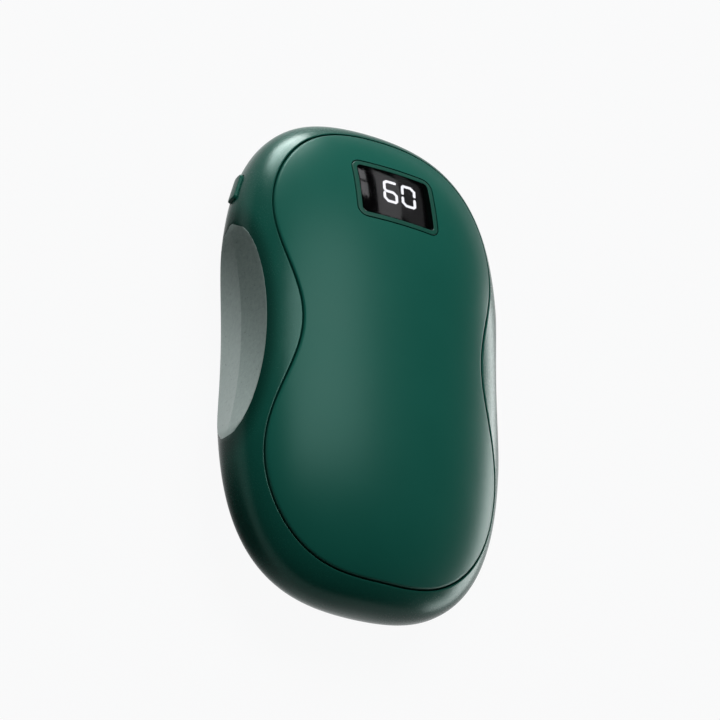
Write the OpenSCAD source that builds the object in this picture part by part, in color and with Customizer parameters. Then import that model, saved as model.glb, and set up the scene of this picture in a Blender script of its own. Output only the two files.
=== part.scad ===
// Rechargeable hand warmer: a pebble with a scoop in each flank, a waisted panel front and back,
// a display window near the top end, a side button and a charging socket in the top end.
// It lies on its back. +Z is out of the display, +Y is towards the top end, X runs across.

/* [Pebble] */
// Length of the pebble
body_l = 100; // [98:0.5:115]
// Width of the pebble before the flanks are scooped
body_w = 60.4; // [59:0.2:70]
// Thickness of the pebble at its middle
body_t = 30.5; // [29.5:0.25:36]
// Wall of the outer shell
wall = 2; // [1.6:0.1:2.4]
// Depth of the flat foot on the back
foot_cut = 0.6; // [0.3:0.05:0.9]

/* [Flank scoops] */
// Depth of each scoop at its middle
scoop_depth = 3.4; // [2:0.1:4.2]
// Radius of the scoop along the flank
scoop_r = 83; // [70:1:110]
// How much the scoop opens from its middle ridge for each unit of height
scoop_draft_share = 0.061; // [0:0.001:0.12]
// Place of the scoop's middle along the body
scoop_y = 1.6; // [-3:0.1:3]

/* [Front and back panels] */
// Distance from each end of the pebble to the end of a panel
panel_end_in = 4.3; // [4:0.1:9]
// Distance from each flank to the side of a panel, before the waist is drawn in
panel_side_in = 1.95; // [1.9:0.05:5]
// How far each side is drawn in at the waist
waist_in = 8.07; // [2:0.01:9]
// Half-length over which the waist fades out
waist_l = 18.25; // [12:0.05:22]
// Thickness of each panel
panel_t = 1.8; // [1.2:0.1:2.2]
// Gap of the seam round each panel
seam_gap = 0.3; // [0.2:0.05:0.5]
// Bevel of the panel and shell edges at the seam
seam_bevel = 0.25; // [0.1:0.05:0.4]
// Width of the ledge that carries each panel
ledge_w = 1.6; // [1.2:0.1:2]
// Thickness of that ledge
ledge_t = 1.4; // [1:0.1:1.8]
// Thickness of the adhesive ring on the ledge
gasket_t = 0.15; // [0.1:0.05:0.3]

/* [Display] */
// Distance of the window's middle from the top end
window_from_top = 17.85; // [17:0.05:19]
// Width of the window's rim
rim_w = 18.35; // [16:0.05:20]
// Length of the window's rim
rim_l = 12.9; // [11:0.1:14]
// Width of the rim's face round the glass
rim_face = 0.95; // [0.7:0.05:1.5]
// Outer corner radius of the rim
rim_r = 1.9; // [1.2:0.1:3]
// Depth of the glass below the rim
glass_recess = 0.05; // [0.05:0.05:0.5]
// Thickness of the glass
glass_t = 0.5; // [0.4:0.05:0.8]
// Height of a digit between the middles of its strokes
digit_h = 4.7; // [3.6:0.1:5]
// Width of a digit between the middles of its strokes
digit_w = 2.75; // [2.4:0.05:3]
// Distance from digit to digit
digit_pitch = 4.2; // [3.9:0.05:4.6]
// Width of a digit's stroke
stroke_w = 0.55; // [0.3:0.05:0.6]

/* [Button] */
// Distance of the button's middle from the top end
button_from_top = 18.1; // [17:0.1:19]
// Length of the button along the flank
button_l = 5.8; // [5:0.1:7]
// Width of the button across the flank
button_w = 3.2; // [2.8:0.1:4.2]
// Height of the button above the flank
button_proud = 0.55; // [0.4:0.05:0.9]
// Travel of the button
button_travel = 0.4; // [0.2:0.05:0.5]
// Running gap round the button
button_gap = 0.2; // [0.15:0.05:0.3]

/* [Battery] */
// Distance from the lower end of the pebble to the cells
cell_from_end = 20; // [17:0.5:26]
// Least thickness of the foam over the cells' lower corners
foam_least = 0.6; // [0.3:0.1:2]
// Thickness of the tape between the cells
tape_t = 0.4; // [0.2:0.1:1]

/* [Charging socket] */
// Length of the metal socket
socket_l = 7.4; // [6.5:0.1:8]
// Depth of the socket's mouth below the end of the body
socket_set_in = 1.2; // [0.8:0.1:1.8]

/* [Hidden] */

// Shape exponents of the pebble: plan, long profile and cross-section
plan_y_power = 3.46;
plan_x_power = 2.71;
profile_y_power = 2.88;
profile_z_power = 2.19;
section_z_power = 2.27;
// Exponent of the panel's outline, and how much wider its lower end is
panel_power = 2.85;
panel_flare_share = 0.014;
// The panel sits a little towards the top end
panel_shift = 0.2;

half_l = body_l / 2;
half_w = body_w / 2;
half_t = body_t / 2;
panel_l = body_l - 2 * panel_end_in;
panel_w = body_w - 2 * panel_side_in;
mid_z = half_t - foot_cut;
window_y = half_l - window_from_top;
button_y = half_l - button_from_top;

// Points round the seam, and bands of the shell's outside and inside
around = 72;
outer_bands = 8;
inner_bands = 5;
panel_bands = 5;
// Overrun of cuts, and the small step that slopes are taken over
over = 1;
step = 0.01;

$fn = 32;

function clip(v) = max(0, v);
function mix(a, b, s) = a + (b - a) * s;

// Half-width of the pebble's plan at y, with the surface drawn in by a depth
function plan_x(y, inset = 0) =
    (half_w - inset) * pow(clip(1 - pow(abs(y) / (half_l - inset), plan_y_power)), 1 / plan_x_power);

// Height of the pebble's surface over its middle plane
function crown(x, y, inset = 0) =
    let (w = max(step, plan_x(y, inset)))
    (half_t - inset)
    * pow(clip(1 - pow(abs(y) / (half_l - inset), profile_y_power)), 1 / profile_z_power)
    * pow(clip(1 - pow(abs(x) / w, 2)), 1 / section_z_power);

// Point of the pebble's plan outline in the direction of an angle
function plan_at(angle, inset = 0) =
    let (c = pow(abs(cos(angle)), 3 / 2), s = pow(abs(sin(angle)), 3 / 2), r = norm([c, s]))
    [sign(cos(angle)) * (half_w - inset) * pow(c / r, 2 / plan_x_power),
     sign(sin(angle)) * (half_l - inset) * pow(s / r, 2 / plan_y_power)];

// Half-width that a scoop leaves at y on the middle plane
function scoop_x(y) = half_w - scoop_depth + pow(y - scoop_y, 2) / (2 * scoop_r);

// Outline of a panel: a long rounded form drawn in at its waist
function panel_raw(angle) =
    let (c = abs(cos(angle)) / (panel_w / 2), s = abs(sin(angle)) / (panel_l / 2),
         r = pow(pow(c, panel_power) + pow(s, panel_power), -1 / panel_power),
         x = r * cos(angle), y = r * sin(angle),
         waist = waist_in / (panel_w / 2) * exp(-pow((y - scoop_y) / waist_l, 2)))
    [x * (1 - waist) * (1 - panel_flare_share * y / half_l), y + panel_shift];

// The same outline moved outwards square to itself
function panel_at(angle, out = 0) =
    let (t = panel_raw(angle + step) - panel_raw(angle - step))
    panel_raw(angle) + out * [t.y, -t.x] / norm(t);

function angles() = [for (i = [0 : around - 1]) 360 * i / around];

// Ring of points over the panel's outline, a depth below the pebble's surface
function seam_ring(out, depth) =
    [for (a = angles()) let (p = panel_at(a, out)) [p.x, p.y, crown(p.x, p.y) - depth]];

function below(rings) = [for (r = rings) [for (p = r) [p.x, p.y, -p.z]]];
function reversed(list) = [for (k = [len(list) - 1 : -1 : 0]) list[k]];

// Faces between two rings of n points that start at points a and b
function band(a, b, n) =
    [for (i = [0 : n - 1]) let (j = (i + 1) % n) each [[a + i, b + j, b + i], [a + i, a + j, b + j]]];

// Solid whose rings close on themselves, as a wreath does
module wreath(rings) {
    n = len(rings[0]);
    m = len(rings);
    polyhedron([for (r = rings) each r],
        [for (k = [0 : m - 1]) each band(k * n, ((k + 1) % m) * n, n)], convexity = 8);
}

// Solid of rings from one end point to another
module cocoon(first, rings, last) {
    n = len(rings[0]);
    m = len(rings);
    polyhedron([first, each [for (r = rings) each r], last],
        [for (i = [0 : n - 1]) [0, 1 + (i + 1) % n, 1 + i],
         for (k = [0 : m - 2]) each band(1 + k * n, 1 + (k + 1) * n, n),
         for (i = [0 : n - 1]) [1 + m * n, 1 + (m - 1) * n + i, 1 + (m - 1) * n + (i + 1) % n]],
        convexity = 6);
}

// Slab under the crown between two depths. With a level, its underside is flat at that height.
module crown_slab(x0, x1, y0, y1, top, bottom, columns, rows, level = undef) {
    xs = [for (i = [0 : columns]) mix(x0, x1, i / columns)];
    ys = [for (j = [0 : rows]) mix(y0, y1, j / rows)];
    n = columns + 1;
    lid = [for (y = ys) for (x = xs) [x, y, crown(x, y) - top]];
    base = [for (y = ys) for (x = xs) [x, y, is_undef(level) ? crown(x, y) - bottom : level]];
    m = len(lid);
    rim = concat([for (i = [0 : columns]) i], [for (j = [1 : rows]) j * n + columns],
        [for (i = [columns - 1 : -1 : 0]) rows * n + i], [for (j = [rows - 1 : -1 : 1]) j * n]);
    polyhedron(concat(lid, base),
        [for (j = [0 : rows - 1]) for (i = [0 : columns - 1]) let (a = j * n + i)
            each [[a, a + n, a + 1], [a + 1, a + n, a + n + 1],
                  [m + a, m + a + 1, m + a + n], [m + a + 1, m + a + n + 1, m + a + n]],
         for (k = [0 : len(rim) - 1]) let (a = rim[k], b = rim[(k + 1) % len(rim)])
            each [[a, b, m + b], [a, m + b, m + a]]], convexity = 4);
}

module lift() {
    translate([0, 0, mid_z]) children();
}

// Rounded rectangle centred on the origin
module rounded_rect(w, l, r) {
    for (x = [-1, 1]) for (y = [-1, 1])
        translate([x * (w / 2 - r), y * (l / 2 - r)]) circle(r);
    square([w - 2 * r, l], center = true);
    square([w, l - 2 * r], center = true);
}

// Outer shell

socket_w = 8.94;
socket_h = 3.26;

// The adhesive ring lies on the ledge, and the panel lies on the ring
seat_gap = 0.08;
ledge_depth = panel_t + gasket_t + 2 * seat_gap;
under_depth = ledge_depth + ledge_t;

function outer_ring(k) =
    [for (a = angles())
        let (p = mix(panel_at(a, seam_gap + seam_bevel), plan_at(a), sin(90 * k / outer_bands)))
        [p.x, p.y, k == outer_bands ? 0 : crown(p.x, p.y)]];

function inner_ring(k) =
    [for (a = angles())
        let (p = mix(panel_at(a, seam_gap), plan_at(a, wall), sin(90 * k / inner_bands)),
             x = sign(p.x) * min(abs(p.x), scoop_x(p.y) - wall),
             z = min(crown(p.x, p.y, wall), crown(p.x, p.y) - under_depth))
        [x, p.y, k == inner_bands ? 0 : clip(z)]];

outer_front = [
    seam_ring(seam_gap, ledge_depth),
    seam_ring(seam_gap, seam_bevel),
    each [for (k = [0 : outer_bands - 1]) outer_ring(k)]];

inner_front = [
    seam_ring(-ledge_w, ledge_depth),
    seam_ring(-ledge_w, under_depth),
    each [for (k = [0 : inner_bands - 1]) inner_ring(k)]];

// Sizes along the body, from the display to the lower end: window, main board, tray, cells
lip_w = 0.6;
glass_w = rim_w - 2 * rim_face;
glass_l = rim_l - 2 * rim_face;
module_side_gap = 0.36;
module_w = glass_w - 2 * lip_w - 2 * module_side_gap;
module_l = glass_l - 2 * lip_w - 2 * module_side_gap;
board_margin = 2.65;
board_gap = 1;
frame_wall = 1.4;
frame_gap = 0.3;
lead_r = 0.6;
cell_board_gap = 0.5;
cell_board_t = 0.8;
board_near = window_y - module_l / 2 - board_margin;
frame_far = board_near - board_gap - frame_wall;
cell_end = frame_far - frame_gap - 2 * lead_r - cell_board_t - cell_board_gap;
cell_near = cell_from_end - half_l;
frame_near = cell_near - frame_gap;

// Bosses that rise from the back ledge for the screws of the inner frame, level with its corners
boss_r = 1.9;
boss_top = -2.6;
boss_in = 1.2;
boss_from_far = 2.3;
boss_from_near = 6.6;
function boss_at(angle, out = 0) = panel_at(angle, out - ledge_w - boss_in);

// Angle on the +X side at which a boss stands level with y
function boss_angle(y, low = -90, high = 90, tries = 24) =
    let (a = (low + high) / 2)
    tries == 0 ? a
    : boss_at(a).y < y ? boss_angle(y, a, high, tries - 1) : boss_angle(y, low, a, tries - 1);

boss_angles = [for (y = [frame_near + boss_from_near, frame_far - boss_from_far])
    let (a = boss_angle(y)) each [a, 180 - a]];

screw_r = 0.8;
screw_l = 4.2;
screw_head_r = 1.7;
screw_head_t = 1;
screw_gap = 0.05;

// A column on each boss's axis, from its foot in the ledge to its top
module boss_columns(r, past) {
    for (a = boss_angles)
        let (p = boss_at(a), q = boss_at(a, boss_r), z = ledge_depth + ledge_t / 2 - crown(q.x, q.y))
        translate([p.x, p.y, z - past]) cylinder(r = r, h = boss_top - z + 2 * past);
}

// Disc with a waist at its middle plane, whose rim cuts one scoop
module scoop_tool() {
    z = half_t + over;
    translate([half_w - scoop_depth + scoop_r, scoop_y])
        rotate_extrude($fn = 360)
            polygon([[0, -z], [scoop_r + scoop_draft_share * z, -z], [scoop_r, 0],
                     [scoop_r + scoop_draft_share * z, z], [0, z]]);
}

module socket_shape(grow) {
    rounded_rect(socket_w + 2 * grow, socket_h + 2 * grow, socket_h / 2 + grow - step);
}

socket_mouth_gap = 0.15;
module socket_hole() {
    translate([0, half_l + over]) rotate([90, 0, 0])
        linear_extrude(wall + socket_set_in + 2 * over) socket_shape(socket_mouth_gap);
}

module outer_shell() {
    color([0.09, 0.3, 0.26]) lift() difference() {
        union() {
            wreath([each outer_front, outer_ring(outer_bands), each reversed(below(outer_front)),
                    each below(inner_front), inner_ring(inner_bands), each reversed(inner_front)]);
            boss_columns(boss_r, 0);
        }
        scoop_tool();
        mirror([1, 0, 0]) scoop_tool();
        at_button() button_prism(button_gap, -button_reach, over + button_proud);
        socket_hole();
        boss_columns(screw_r + screw_gap, over);
    }
}

// Panels

// Rings inside the panel's outline, from the first to the last of its bands, closer towards its edge
function panel_rings(first, last, depth) =
    [for (k = [first : last]) [for (a = angles())
        let (p = panel_at(a, -ledge_w) * sin(90 * k / panel_bands)) [p.x, p.y, crown(p.x, p.y) - depth]]];

module panel_plate() {
    cocoon([0, 0, half_t],
        [each panel_rings(1, panel_bands - 1, 0), seam_ring(-seam_bevel, 0), seam_ring(0, seam_bevel),
         seam_ring(0, panel_t), each reversed(panel_rings(1, panel_bands, panel_t))],
        [0, 0, half_t - panel_t]);
}

module front_panel() {
    color([0.1, 0.32, 0.28]) lift() difference() {
        panel_plate();
        translate([0, window_y]) linear_extrude(half_t + over)
            rounded_rect(rim_w + 2 * rim_gap, rim_l + 2 * rim_gap, rim_r + rim_gap);
    }
}

module back_panel() {
    color([0.1, 0.32, 0.28]) lift() difference() {
        mirror([0, 0, 1]) panel_plate();
        translate([-half_w, -half_l, -half_t - over]) cube([body_w, body_l, over + foot_cut]);
    }
}

// The adhesive ring keeps clear of the seam
gasket_w = ledge_w - seam_bevel;
module gasket_ring() {
    top = panel_t + seat_gap;
    wreath([seam_ring(-seam_bevel, top), seam_ring(-seam_bevel, top + gasket_t),
            seam_ring(-gasket_w, top + gasket_t), seam_ring(-gasket_w, top)]);
}

module front_panel_gasket() {
    color([0.15, 0.15, 0.15]) lift() gasket_ring();
}

module back_panel_gasket() {
    color([0.15, 0.15, 0.15]) lift() mirror([0, 0, 1]) gasket_ring();
}

// Display window

rim_gap = 0.12;
glass_gap = 0.05;
flange_w = 1;
flange_t = 0.8;
flange_gap = 0.4;
glass_r = rim_r - rim_face;
lip_depth = glass_recess + glass_t + glass_gap;

module window_slab(top, bottom) {
    w = rim_w / 2 + flange_w + over;
    l = rim_l / 2 + flange_w + over;
    crown_slab(-w, w, window_y - l, window_y + l, top, bottom, 8, 6);
}

// Slab of the window in a rounded outline
module window_plate(w, l, r, top, bottom) {
    intersection() {
        window_slab(top, bottom);
        translate([0, window_y]) linear_extrude(half_t + 2 * over) rounded_rect(w, l, r);
    }
}

module window_rim() {
    foot = panel_t + flange_gap + flange_t;
    color([0.11, 0.36, 0.3]) lift() difference() {
        union() {
            window_plate(rim_w, rim_l, rim_r, 0, foot);
            window_plate(rim_w + 2 * flange_w, rim_l + 2 * flange_w, rim_r + flange_w,
                         panel_t + flange_gap, foot);
        }
        window_plate(glass_w, glass_l, glass_r, -over, lip_depth);
        window_plate(glass_w - 2 * lip_w, glass_l - 2 * lip_w, glass_r, -over, foot + over);
    }
}

module window_glass() {
    color([0.05, 0.05, 0.06]) lift()
        window_plate(glass_w - 2 * glass_gap, glass_l - 2 * glass_gap, glass_r - glass_gap,
                     glass_recess, glass_recess + glass_t);
}

// Display module: a block whose top lies along the slope of the window
window_slope = atan((crown(0, window_y + over) - crown(0, window_y - over)) / (2 * over));
module_gap = 0.3;
segment_t = 0.08;
// The flat top clears the glass where the crowned glass dips at the module's sides
module_depth = glass_recess + glass_t + module_gap + segment_t
    + crown(0, window_y) - crown(module_w / 2, window_y);
module_top = crown(0, window_y) - module_depth;
module_rise = module_l / 2 * sin(-window_slope);
module_run = module_l / 2 * cos(window_slope);

board_t = 1;
board_z = socket_h / 2;
pin_gap = 0.6;

module display_module() {
    color([0.08, 0.08, 0.09]) lift()
        translate([-module_w / 2, window_y]) rotate([90, 0, 90]) linear_extrude(module_w)
            polygon([[-module_run, board_z + board_t + pin_gap], [module_run, board_z + board_t + pin_gap],
                     [module_run, module_top - module_rise], [-module_run, module_top + module_rise]]);
}

// Digits

// The number stands a little towards the right and the top of the window
digits_x = 1.5;
digits_y = 1.4;
digit_slant_share = 0.08;

// A stroke with round ends between two points
module stroke(p, q, w) {
    d = q - p;
    translate(p) circle(d = w);
    translate(q) circle(d = w);
    translate(p) rotate(atan2(d.y, d.x)) translate([0, -w / 2]) square([norm(d), w]);
}

// Each digit as lines through shares of its width and height: first the lit ones, then the resting ones
six_lines = [
    [[[1, 1], [0.2, 1], [0, 0.9], [0, 0.6], [0.13, 0.5], [0.74, 0.5], [1, 0.37], [1, 0.08], [0.88, 0],
      [0.26, 0], [0, 0.15], [0, 0.43]]],
    [[[1, 0.84], [1, 0.58]]]];
nought_lines = [
    [[[0, 0.56], [0, 0.93], [0.1, 1], [0.7, 1], [1, 0.85], [1, 0.56]],
     [[1, 0.44], [1, 0.07], [0.88, 0], [0.28, 0], [0, 0.15], [0, 0.44]]],
    [[[0.27, 0.5], [0.73, 0.5]]]];

// Point of a digit in its own slanted frame, from shares of its width and height
function digit_point(share) =
    let (y = (share.y - 1 / 2) * digit_h)
    [share.x * digit_w + digit_slant_share * y, y];

module digit_line(line) {
    for (i = [1 : len(line) - 1]) stroke(digit_point(line[i - 1]), digit_point(line[i]), stroke_w, $fn = 16);
}

module segments(state) {
    digits = [six_lines, nought_lines];
    for (d = [0, 1])
        translate([digits_x - (digit_pitch + digit_w) / 2 + d * digit_pitch, digits_y])
            linear_extrude(segment_t) for (line = digits[d][state]) digit_line(line);
}

module on_module() {
    lift() translate([0, window_y, module_top]) rotate([window_slope, 0, 0]) children();
}

module lit_segments() {
    color([1, 1, 1]) on_module() segments(0);
}

module unlit_segments() {
    color([0.2, 0.2, 0.2]) on_module() segments(1);
}

pin_r = 0.25;
pins_in_row = 5;
pin_row_share = 0.4;
module display_pins() {
    color([0.8, 0.75, 0.6]) lift()
        for (side = [-1, 1]) for (i = [0 : pins_in_row - 1])
            translate([side * module_w * pin_row_share,
                       window_y + module_run * ((2 * i + 1) / pins_in_row - 1), board_z + board_t])
                cylinder(r = pin_r, h = pin_gap, $fn = 16);
}

// Main board

board_end_gap = 6.6;
board_side_gap = 10;
board_taper_l = 9;
board_screw_r = 0.8;
board_screw_in = 4.5;
board_screw_up = 3;
board_far_screw_in = 4;
board_far_side = 2.4;
post_r = 1.9;
post_gap = 0.8;
board_far = half_l - board_end_gap;
board_half = half_w - board_side_gap;
board_shoulder = board_far - board_taper_l;
board_screw_x = board_half - board_screw_in;
board_screw_y = board_near + board_screw_up;
// The far screws stand either side of the charging socket and the display module
board_far_screw_x = max(socket_w / 2 + post_r, module_w / 2 + screw_head_r) + post_gap;
board_far_screw_y = board_far - board_far_screw_in;
board_far_half = board_far_screw_x + board_far_side;
board_screw_places = [
    [-board_screw_x, board_screw_y], [board_screw_x, board_screw_y],
    [-board_far_screw_x, board_far_screw_y], [board_far_screw_x, board_far_screw_y]];

module main_board() {
    color([0.05, 0.35, 0.15]) lift() translate([0, 0, board_z]) linear_extrude(board_t) difference() {
        polygon([[-board_half, board_near], [board_half, board_near], [board_half, board_shoulder],
                 [board_far_half, board_far], [-board_far_half, board_far], [-board_half, board_shoulder]]);
        for (p = board_screw_places) translate(p) circle(board_screw_r + screw_gap);
    }
}

chip_gap = 1.5;
control_size = 4;
control_t = 0.9;
module control_chip() {
    color([0.1, 0.1, 0.1]) lift()
        translate([-module_w / 2 - chip_gap - control_size, window_y - control_size / 2,
                   board_z + board_t])
            cube([control_size, control_size, control_t]);
}

charger_size = 4;
charger_t = 0.8;
module charger_chip() {
    color([0.1, 0.1, 0.1]) lift()
        translate([-chip_gap - charger_size, window_y - charger_size / 2, board_z - charger_t])
            cube([charger_size, charger_size, charger_t]);
}

coil_size = 4;
coil_t = 2.8;
module power_inductor() {
    color([0.3, 0.3, 0.32]) lift()
        translate([board_screw_x - post_r - coil_size / 2, window_y, board_z - coil_t])
        difference() {
            linear_extrude(coil_t) rounded_rect(coil_size, coil_size, coil_size / 6);
            translate([0, 0, -over]) cylinder(d = coil_size / 2, h = over + coil_t / 4);
        }
}

capacitor_l = 1.6;
capacitor_w = 0.8;
capacitor_rows = 4;
module chip_capacitors() {
    color([0.6, 0.5, 0.38]) lift() for (i = [0 : capacitor_rows - 1])
        translate([board_screw_x - capacitor_l, window_y + 2 * capacitor_w * (i - 1), board_z + board_t])
            cube([capacitor_l, capacitor_w, capacitor_w]);
}

// Charging socket, with the mouth of the common flat reversible plug

socket_skin = 0.3;
tongue_w = 6.69;
tongue_t = 0.7;
tongue_set_in = 1.1;
socket_front = half_l - socket_set_in;
contact_w = 0.25;
contact_t = 0.05;
contact_pitch = 0.5;
contacts_in_row = 12;
contact_l = 3.6;
socket_back_t = 1;

module at_socket() {
    lift() translate([0, socket_front]) rotate([90, 0, 0]) children();
}

module socket_shell() {
    color([0.75, 0.76, 0.78]) at_socket() difference() {
        linear_extrude(socket_l) socket_shape(0);
        translate([0, 0, -over]) linear_extrude(socket_l - socket_back_t + over) socket_shape(-socket_skin);
    }
}

module socket_tongue() {
    color([0.1, 0.1, 0.1]) at_socket() translate([-tongue_w / 2, -tongue_t / 2, tongue_set_in])
        cube([tongue_w, tongue_t, socket_l - socket_back_t - tongue_set_in]);
}

module socket_contacts() {
    color([0.85, 0.7, 0.35]) at_socket()
        for (side = [0, 1]) for (i = [0 : contacts_in_row - 1])
            translate([(i - (contacts_in_row - 1) / 2) * contact_pitch - contact_w / 2,
                       side == 1 ? tongue_t / 2 : -tongue_t / 2 - contact_t, tongue_set_in + contact_w])
                cube([contact_w, contact_t, contact_l]);
}

// Button. In its own frame +X points out of the flank and Y runs along it.

button_z = -1.35;
button_r = 0.8;
button_bevel = 0.25;
button_flange = 0.7;
button_turn = 180 + atan((plan_x(button_y + step) - plan_x(button_y - step)) / (2 * step));
button_flange_t = 0.6;
button_out = [cos(button_turn), sin(button_turn)];

// Place of the wall's inside along the button's axis, at a height z and a place y along the body
function wall_at(y, z) =
    let (x = plan_x(y, wall) * pow(clip(1 - pow(abs(z) / crown(0, y, wall), section_z_power)), 1 / 2))
    [plan_x(button_y) - x, y - button_y] * button_out;

// The flange reaches past the button's ends only, behind the curved wall, and clears it at its corners
flange_behind = 0.3;
flange_narrow = 0.5;
flange_reach_y = button_l / 2 + button_flange;
flange_reach_z = button_w / 2 - flange_narrow;
flange_front = min([for (y = [-1, 1]) for (z = [-1, 1])
    wall_at(button_y + y * flange_reach_y, button_z + z * flange_reach_z)]) - flange_behind;
button_stem_r = 1;
button_stem_l = 0.5;
button_reach = -flange_front + over;
plunger_r = 0.9;
plunger_out = 0.8;
plunger_in = 1;
plunger_gap = 0.05;
switch_w = 5;
switch_t = 3.4;
stem_tip = flange_front - button_flange_t - button_stem_l;

module at_button() {
    translate([-plan_x(button_y), button_y, button_z]) rotate([0, 0, button_turn]) children();
}

// Straight block of the button's outline from one place along its axis to another
module button_prism(grow, from, to) {
    translate([from, 0, 0]) rotate([90, 0, 90]) linear_extrude(to - from)
        rounded_rect(button_l + 2 * grow, button_w + 2 * grow, button_r + grow);
}

// How far the flank draws in along the button's axis, at a height across the button
function flank_in(z) =
    plan_x(button_y) * (1 - pow(clip(1 - pow(abs(button_z + z) / crown(0, button_y), section_z_power)), 1 / 2))
    * -button_out.x;

// Block of the button's outline whose top follows the flank
button_columns = 10;
module button_pad(grow, top) {
    w = button_w + 2 * grow;
    zs = [for (k = [0 : button_columns]) w * (k / button_columns - 1 / 2)];
    intersection() {
        button_prism(grow, flange_front - step, over);
        translate([0, button_l, 0]) rotate([90, 0, 0]) linear_extrude(2 * button_l)
            polygon([[flange_front - over, w], [flange_front - over, -w],
                     each [for (z = zs) [top - flank_in(z), z]]]);
    }
}

module button_cap() {
    color([0.1, 0.33, 0.28]) lift() at_button() {
        hull() {
            button_pad(0, button_proud - button_bevel);
            button_pad(-button_bevel, button_proud);
        }
        translate([flange_front - button_flange_t, 0, 0]) rotate([90, 0, 90])
            linear_extrude(button_flange_t)
                rounded_rect(2 * flange_reach_y, 2 * flange_reach_z, button_r);
        translate([stem_tip, 0, 0]) rotate([0, 90, 0]) cylinder(r = button_stem_r, h = button_stem_l + step);
    }
}

module switch_body() {
    h = 2 * (board_z - button_z);
    color([0.12, 0.12, 0.12]) lift() at_button() difference() {
        translate([stem_tip - plunger_out - switch_t, -switch_w / 2, -h / 2]) cube([switch_t, switch_w, h]);
        translate([stem_tip - plunger_out - plunger_in - 2 * button_travel, 0, 0]) rotate([0, 90, 0])
            cylinder(r = plunger_r + plunger_gap, h = plunger_in + 2 * button_travel + over);
    }
}

module switch_plunger() {
    color([0.8, 0.8, 0.78]) lift() at_button() translate([stem_tip - plunger_out - plunger_in, 0, 0])
        rotate([0, 90, 0]) cylinder(r = plunger_r, h = plunger_out + plunger_in);
}

// Battery. The cells fill the width between the bosses and the height under the foam.

heater_t = 0.25;
heater_gap = 0.1;
heater_top = panel_t + heater_gap;
heater_under = heater_top + heater_t;
boss_gap = 0.2;
cell_r = 1.2;
cell_y = (cell_end + cell_near) / 2;
cell_l = cell_end - cell_near;
cell_w = 2 * (min([for (a = boss_angles) abs(boss_at(a).x)]) - boss_r - boss_gap - frame_wall - frame_gap);
cell_t = crown(cell_w / 2, cell_near) - heater_under - foam_least - tape_t / 2;
cell_board_w = 26;
cell_board_h = 8;
lead_x = 4;

module cell(side) {
    translate([0, cell_y, side > 0 ? tape_t / 2 : -tape_t / 2 - cell_t])
        linear_extrude(cell_t) rounded_rect(cell_w, cell_l, cell_r);
}

module front_cell() {
    color([0.75, 0.77, 0.8]) lift() cell(1);
}

module back_cell() {
    color([0.75, 0.77, 0.8]) lift() cell(-1);
}

module cell_tape() {
    color([0.95, 0.95, 0.9]) lift() translate([0, cell_y, -tape_t / 2]) linear_extrude(tape_t)
        rounded_rect(cell_w - 2 * cell_r, cell_l - 2 * cell_r, cell_r);
}

module cell_board() {
    color([0.05, 0.35, 0.15]) lift()
        translate([-cell_board_w / 2, cell_end + cell_board_gap, -cell_board_h / 2])
            cube([cell_board_w, cell_board_t, cell_board_h]);
}

// The tray leaves the cells' faces clear
frame_below = 2.2;
frame_half_h = tape_t / 2 + cell_t - frame_below;

// A lead rises from the cell board, crosses over the frame's wall and drops to the main board
lead_rise = 2 * lead_r;
lead_y = cell_end + cell_board_gap + cell_board_t + lead_r;
lead_far = board_near + 2 * lead_r;
lead_foot = cell_board_h / 2 - 2 * lead_r;
lead_top = frame_half_h + lead_rise;
module lead(x) {
    board_top = board_z + board_t;
    translate([x, lead_y, lead_foot]) cylinder(r = lead_r, h = lead_top - lead_foot);
    translate([x, lead_y, lead_top]) rotate([-90, 0, 0]) cylinder(r = lead_r, h = lead_far - lead_y);
    translate([x, lead_far, board_top]) cylinder(r = lead_r, h = lead_top - board_top);
    for (y = [lead_y, lead_far]) translate([x, y, lead_top]) sphere(lead_r);
}

module positive_lead() {
    color([0.75, 0.1, 0.1]) lift() lead(lead_x);
}

module negative_lead() {
    color([0.08, 0.08, 0.08]) lift() lead(-lead_x);
}

// Inner frame: a tray round the cells with ears for the case screws and a shelf for the main board

frame_r = cell_r + frame_gap;
ear_t = 1.4;
ear_r = 2.2;
shelf_t = 1.2;
shelf_up = 0.4;
shelf_z = shelf_up - frame_half_h;

// The shelf's neck passes between the heaters' tails
tail_w = 3.6;
tail_t = 0.25;
tail_gap = 0.3;
tail_x = cell_w / 2 + frame_gap + frame_wall - tail_w / 2;
shelf_neck = tail_x - tail_w / 2 - tail_gap;

module shelf_block(half, near, far) {
    translate([-half, near, shelf_z]) cube([2 * half, far - near, shelf_t]);
}

module frame_outline(grow) {
    l = frame_far - frame_near;
    translate([0, (frame_far + frame_near) / 2])
        rounded_rect(cell_w + 2 * frame_gap + 2 * grow, l + 2 * grow, frame_r + grow);
}

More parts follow.
